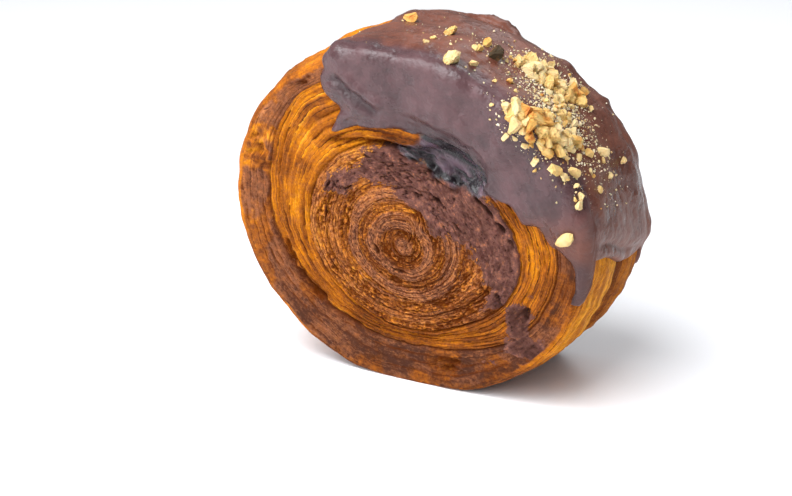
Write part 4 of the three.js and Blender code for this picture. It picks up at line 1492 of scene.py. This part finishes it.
def chip_pattern(seed):
    """One chopped chip, about 1 across."""
    draw = random.Random(seed)
    chip = new_ball(3)
    bpy.ops.object.mode_set(mode="EDIT")
    for _ in range(CUTS):
        facing = Vector([draw.gauss(0, 1) for _ in range(3)]).normalized()
        bpy.ops.mesh.select_all(action="SELECT")
        bpy.ops.mesh.bisect(plane_co=facing * draw.uniform(DEEPEST_CUT, SHALLOWEST_CUT), plane_no=facing,
                            use_fill=True, clear_outer=True)
    bpy.ops.mesh.select_all(action="SELECT")
    bpy.ops.mesh.dissolve_limited(angle_limit=FLATTER_THAN)
    bpy.ops.mesh.quads_convert_to_tris()
    bpy.ops.mesh.subdivide(number_cuts=1)
    bpy.ops.transform.vertex_random(offset=SHAKE, seed=seed)
    bpy.ops.mesh.quads_convert_to_tris()
    bpy.ops.object.mode_set(mode="OBJECT")
    return taken_off(chip)


def crumb_pattern(seed):
    """One crumb of meal: a coarse ball with its points moved in and out."""
    points, faces = taken_off(new_ball(1))
    return points * np.random.default_rng(seed).uniform(CRUMB_LEAST, CRUMB_MOST, (len(points), 1)), faces


chip_patterns = [chip_pattern(seed) for seed in range(CHIP_KINDS)]
crumb_patterns = [crumb_pattern(seed) for seed in range(CRUMB_KINDS)]
print("chips of", [len(faces) for _, faces in chip_patterns], "triangles")

# %% Where the large nuts lie
NUT_PATCHES = [
    {"angle": 58, "along": 2, "arc": 5, "width": 4.5, "count": 8, "largest": 5, "smallest": 3.2},
    {"angle": 51.5, "along": 3.5, "arc": 4, "width": 4, "count": 7, "largest": 4.6, "smallest": 3},
    {"angle": 46, "along": 7.5, "arc": 4, "width": 4.5, "count": 7, "largest": 4.4, "smallest": 3},
    {"angle": 50.5, "along": -20, "arc": 3.5, "width": 3, "count": 6, "largest": 5, "smallest": 3.2},
    {"angle": 45.5, "along": -18.5, "arc": 4, "width": 4.5, "count": 8, "largest": 5, "smallest": 3.2},
    {"angle": 39, "along": -16.5, "arc": 4, "width": 5, "count": 8, "largest": 4.8, "smallest": 3},
    {"angle": 36, "along": -10.5, "arc": 3, "width": 3.5, "count": 4, "largest": 3.8, "smallest": 3},
]
LOOSE_NUTS = [(95.8, 3.5, 3.8), (81.8, -0.7, 3.2), (73.1, -16.6, 5.2), (71.4, -0.2, 2.8), (67, -5, 4.6),
              (68.8, -13.2, 2.6), (48.5, -23, 5), (32.4, -22.5, 4), (29.6, -21, 3), (28.7, -16.9, 3),
              (30.9, -7.4, 3), (28.9, -1.4, 3.2), (22.9, 8.7, 2.4), (22.3, -19.7, 2.6), (20.5, -21, 3),
              (10.5, -27.2, 5.2)]
GOLDEN_ANGLE = math.pi * (3 - math.sqrt(5))
NUT_SHIFT = 0.5
NUT_SEED = 20
DRAW_FACTOR, DRAW_RANGE = 16807, 2147483647


def place_draws(seed):
    """The solid's own plain random draws, so that the nuts lie in the same places."""
    state = seed
    while True:
        state = (state * DRAW_FACTOR) % DRAW_RANGE
        yield state / DRAW_RANGE


def patch_nuts(draws):
    """Angle, place over the rim and size of each large nut."""
    nuts = [(math.radians(angle), along, size) for angle, along, size in LOOSE_NUTS]
    for patch in NUT_PATCHES:
        for i in range(patch["count"]):
            spread = math.sqrt((i + NUT_SHIFT * next(draws)) / patch["count"])
            heading = i * GOLDEN_ANGLE
            angle = math.radians(patch["angle"]) + patch["arc"] / RIM_RADIUS * spread * math.cos(heading)
            along = patch["along"] + patch["width"] * spread * math.sin(heading)
            size = mix(patch["largest"], patch["smallest"], i / (patch["count"] - 1))
            nuts.append((angle, along, size))
    return np.array(nuts)


large_nuts = patch_nuts(place_draws(NUT_SEED))
print("large nuts:", len(large_nuts))

# %% Ways to strew pieces on the chocolate
COAT_TOP = 2.55


def coat_spot(angle, along):
    """Resting place and outward direction on the coat, over the rim and in over the front face."""
    arc = (SHOULDER + COAT_TOP) * np.pi / 2
    past = np.maximum(0, -FLAT - along)
    turned = np.pi / 2 * (1 - np.minimum(1, past / arc))
    inward = np.maximum(0, past - arc)
    radius = outline(angle, np.maximum(along, -FLAT), SHOULDER * (np.sin(turned) - 1) - inward)
    deep = np.where(past > 0, -(FLAT + SHOULDER * np.cos(turned)), along)
    return polar(radius, angle, deep), polar(np.sin(turned), angle, -np.cos(turned))


def on_glaze(angle, along, lift):
    """Places, in millimetres, that far above the chocolate."""
    rest, out = coat_spot(angle, along)
    level = surface_levels(glaze, rest[None], out[None])[0]
    return placed(rest + (level + lift)[:, None] * out) / MM


def scattered(patches, scatter, rng, draw_sizes):
    """Angle, place over the rim and size of pieces that lie in loose patches."""
    pieces = []
    for angle, along, arc, width, count in patches:
        spread = rng.normal(0, scatter, (count, 2))
        pieces.append(np.stack([np.radians(angle) + spread[:, 0] * arc / RIM_RADIUS,
                                along + spread[:, 1] * width, draw_sizes(count)], -1))
    return np.concatenate(pieces)


def random_turns(rng, count):
    quarters = rng.normal(size=(count, 4))
    return np.array([Quaternion(quarter).normalized().to_matrix() for quarter in quarters])


def strewn(name, patterns, spots, sizes, rng, stretch, tints=None, own_shapes=None):
    """One mesh of many chips, with a tint for each; some may have a shape and a turn of their own."""
    turns = random_turns(rng, len(spots))
    tints = rng.random(len(spots)) if tints is None else tints
    points, faces, shades, first = [], [], [], 0
    for i, spot_here in enumerate(spots):
        shape, triangles = patterns[i % len(patterns)]
        shape = shape * (1.0, rng.uniform(1 - stretch, 1), rng.uniform(1 - stretch, 1))
        if own_shapes and i in own_shapes:
            shape, turns[i] = own_shapes[i](patterns[i % len(patterns)][0])
        points.append(shape @ turns[i].T * sizes[i] + spot_here)
        faces.append(triangles + first)
        shades.append(np.full(len(shape), tints[i]))
        first += len(shape)
    mesh = bpy.data.meshes.new(name)
    mesh.from_pydata((np.concatenate(points) * MM).tolist(), [], np.concatenate(faces).tolist())
    thing = bpy.data.objects.new(name, mesh)
    bpy.context.collection.objects.link(thing)
    write_attribute(thing, "tint", np.concatenate(shades))
    return thing


print("the coat's resting place at the far right:", coat_spot(0.0, 0.0)[0].round(1).tolist(), "mm")

# %% Copy the chips to their places
SMALL_PATCHES = [(58, 2, 7, 6, 30), (50, 4.5, 8, 7, 40), (46, -18.5, 9, 6, 40), (44.5, -6, 5, 5, 26),
                 (37, -12, 6, 6, 24), (70, -6, 12, 9, 6), (27, -10, 9, 11, 12)]
SMALLEST_CHIP, LARGEST_CHIP = 0.9, 2.4
CHIP_SCATTER, CHIP_SEED = 0.55, 7
CHIP_SCALE, CHIP_STRETCH, CHIP_LIFT = 1.2, 0.45, 0.16
OWN_TINTS = {0: 0.9, 2: 0.2, 4: 1.8, 6: 0.3, 15: 0.4}
OVAL_NUT = 15
OVAL_HEADING = math.radians(40)
OVAL_STRETCH = (1.1, 0.62, 0.5)
OVAL_ROUNDNESS, OVAL_RADIUS = 0.75, 0.45


def lying_oval(shape):
    """A chip drawn towards an oval that lies flat on the front face, and the turn for it."""
    ball = OVAL_RADIUS * shape / np.linalg.norm(shape, axis=1, keepdims=True)
    across = np.array([1.0, 0.0, 0.0])
    face_up = np.array([0.0, -math.sin(LEAN), math.cos(LEAN)])
    first = math.cos(OVAL_HEADING) * across + math.sin(OVAL_HEADING) * face_up
    second = math.cos(OVAL_HEADING) * face_up - math.sin(OVAL_HEADING) * across
    turn = np.stack([first, second, np.cross(first, second)], -1)
    return mix(shape, ball, OVAL_ROUNDNESS) * OVAL_STRETCH, turn


chip_rng = np.random.default_rng(CHIP_SEED)
small_nuts = scattered(SMALL_PATCHES, CHIP_SCATTER, chip_rng,
                       lambda count: chip_rng.uniform(SMALLEST_CHIP, LARGEST_CHIP, count))
nuts = np.concatenate([large_nuts, small_nuts])
nut_spots = on_glaze(nuts[:, 0], nuts[:, 1], CHIP_LIFT * nuts[:, 2])
nut_tints = chip_rng.random(len(nuts))
for number, tint in OWN_TINTS.items():
    nut_tints[number] = tint
nut_sizes = CHIP_SCALE * nuts[:, 2]
nut_pieces = strewn("nut_pieces", chip_patterns, nut_spots, nut_sizes, chip_rng, CHIP_STRETCH, nut_tints,
                    {OVAL_NUT: lying_oval})
print("nuts:", len(nuts), "chips,", len(nut_pieces.data.polygons), "triangles")

# %% Meal between the nuts
MEAL_PATCHES = [(58, 2, 5, 5, 380), (50, 4.5, 6, 6, 560), (45, -18, 6, 5, 480), (45, -5, 5, 5, 1100),
                (37, -9, 6, 6, 560), (28, -6, 7, 8, 160), (66, -2, 9, 7, 120), (84, -2, 10, 7, 40)]
FINEST, COARSEST = 0.22, 1.0
MEAL_FRONT = -27
MEAL_SCATTER, MEAL_SEED = 1, 23
MEAL_STRETCH, MEAL_LIFT = 0.5, 0.12

meal_rng = np.random.default_rng(MEAL_SEED)
meal = scattered(MEAL_PATCHES, MEAL_SCATTER, meal_rng,
                 lambda count: mix(FINEST, COARSEST, meal_rng.random(count) ** 3))
meal[:, 1] = np.clip(meal[:, 1], MEAL_FRONT, FLAT)
meal_spots = on_glaze(meal[:, 0], meal[:, 1], MEAL_LIFT * meal[:, 2])
nut_crumbs = strewn("nut_crumbs", crumb_patterns, meal_spots, meal[:, 2], meal_rng, MEAL_STRETCH)
print("meal:", len(meal), "crumbs,", len(nut_crumbs.data.polygons), "triangles")

# %% Finish of the nuts
NUT_TONES = [(0.0, tone(230, 206, 156)), (0.4, tone(228, 192, 122)), (0.62, tone(214, 162, 84)),
             (0.78, tone(190, 114, 50)), (1.0, tone(66, 52, 34))]
MEAL_TONES = [(0.0, tone(236, 226, 204)), (0.45, tone(226, 204, 156)), (0.72, tone(190, 140, 80))]
TINT_SHARE = 0.55
NUT_ROUGHNESS, NUT_SHINE = 0.6, 0.2
NUT_GLOW = {"Subsurface_Weight": 0.12, "Subsurface_Scale": 0.001}

for thing, name, tones in ((nut_pieces, "nut", NUT_TONES), (nut_crumbs, "nut_meal", MEAL_TONES)):
    nut = Finish(name)
    everywhere = nut.spot("Object")
    mealy = nut.noise(everywhere, 1300, 4.0, 0.65)
    roasted = nut.noise(everywhere, 300, 3.0, 0.5)
    tinted = nut.times(nut.attribute("tint"), TINT_SHARE)
    shade = nut.plus(tinted, nut.spread(roasted, 0.35, 0.7, -0.06, 0.26))
    nut.cover(thing, Base_Color=nut.colours(shade, tones), Roughness=NUT_ROUGHNESS,
              Normal=nut.bump(mealy, 0.8, 0.7 * MM), Specular_IOR_Level=NUT_SHINE, **NUT_GLOW)
    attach(thing, "root")
    print(name, "finish:", len(nut.tree.nodes), "nodes")

# %% [markdown]
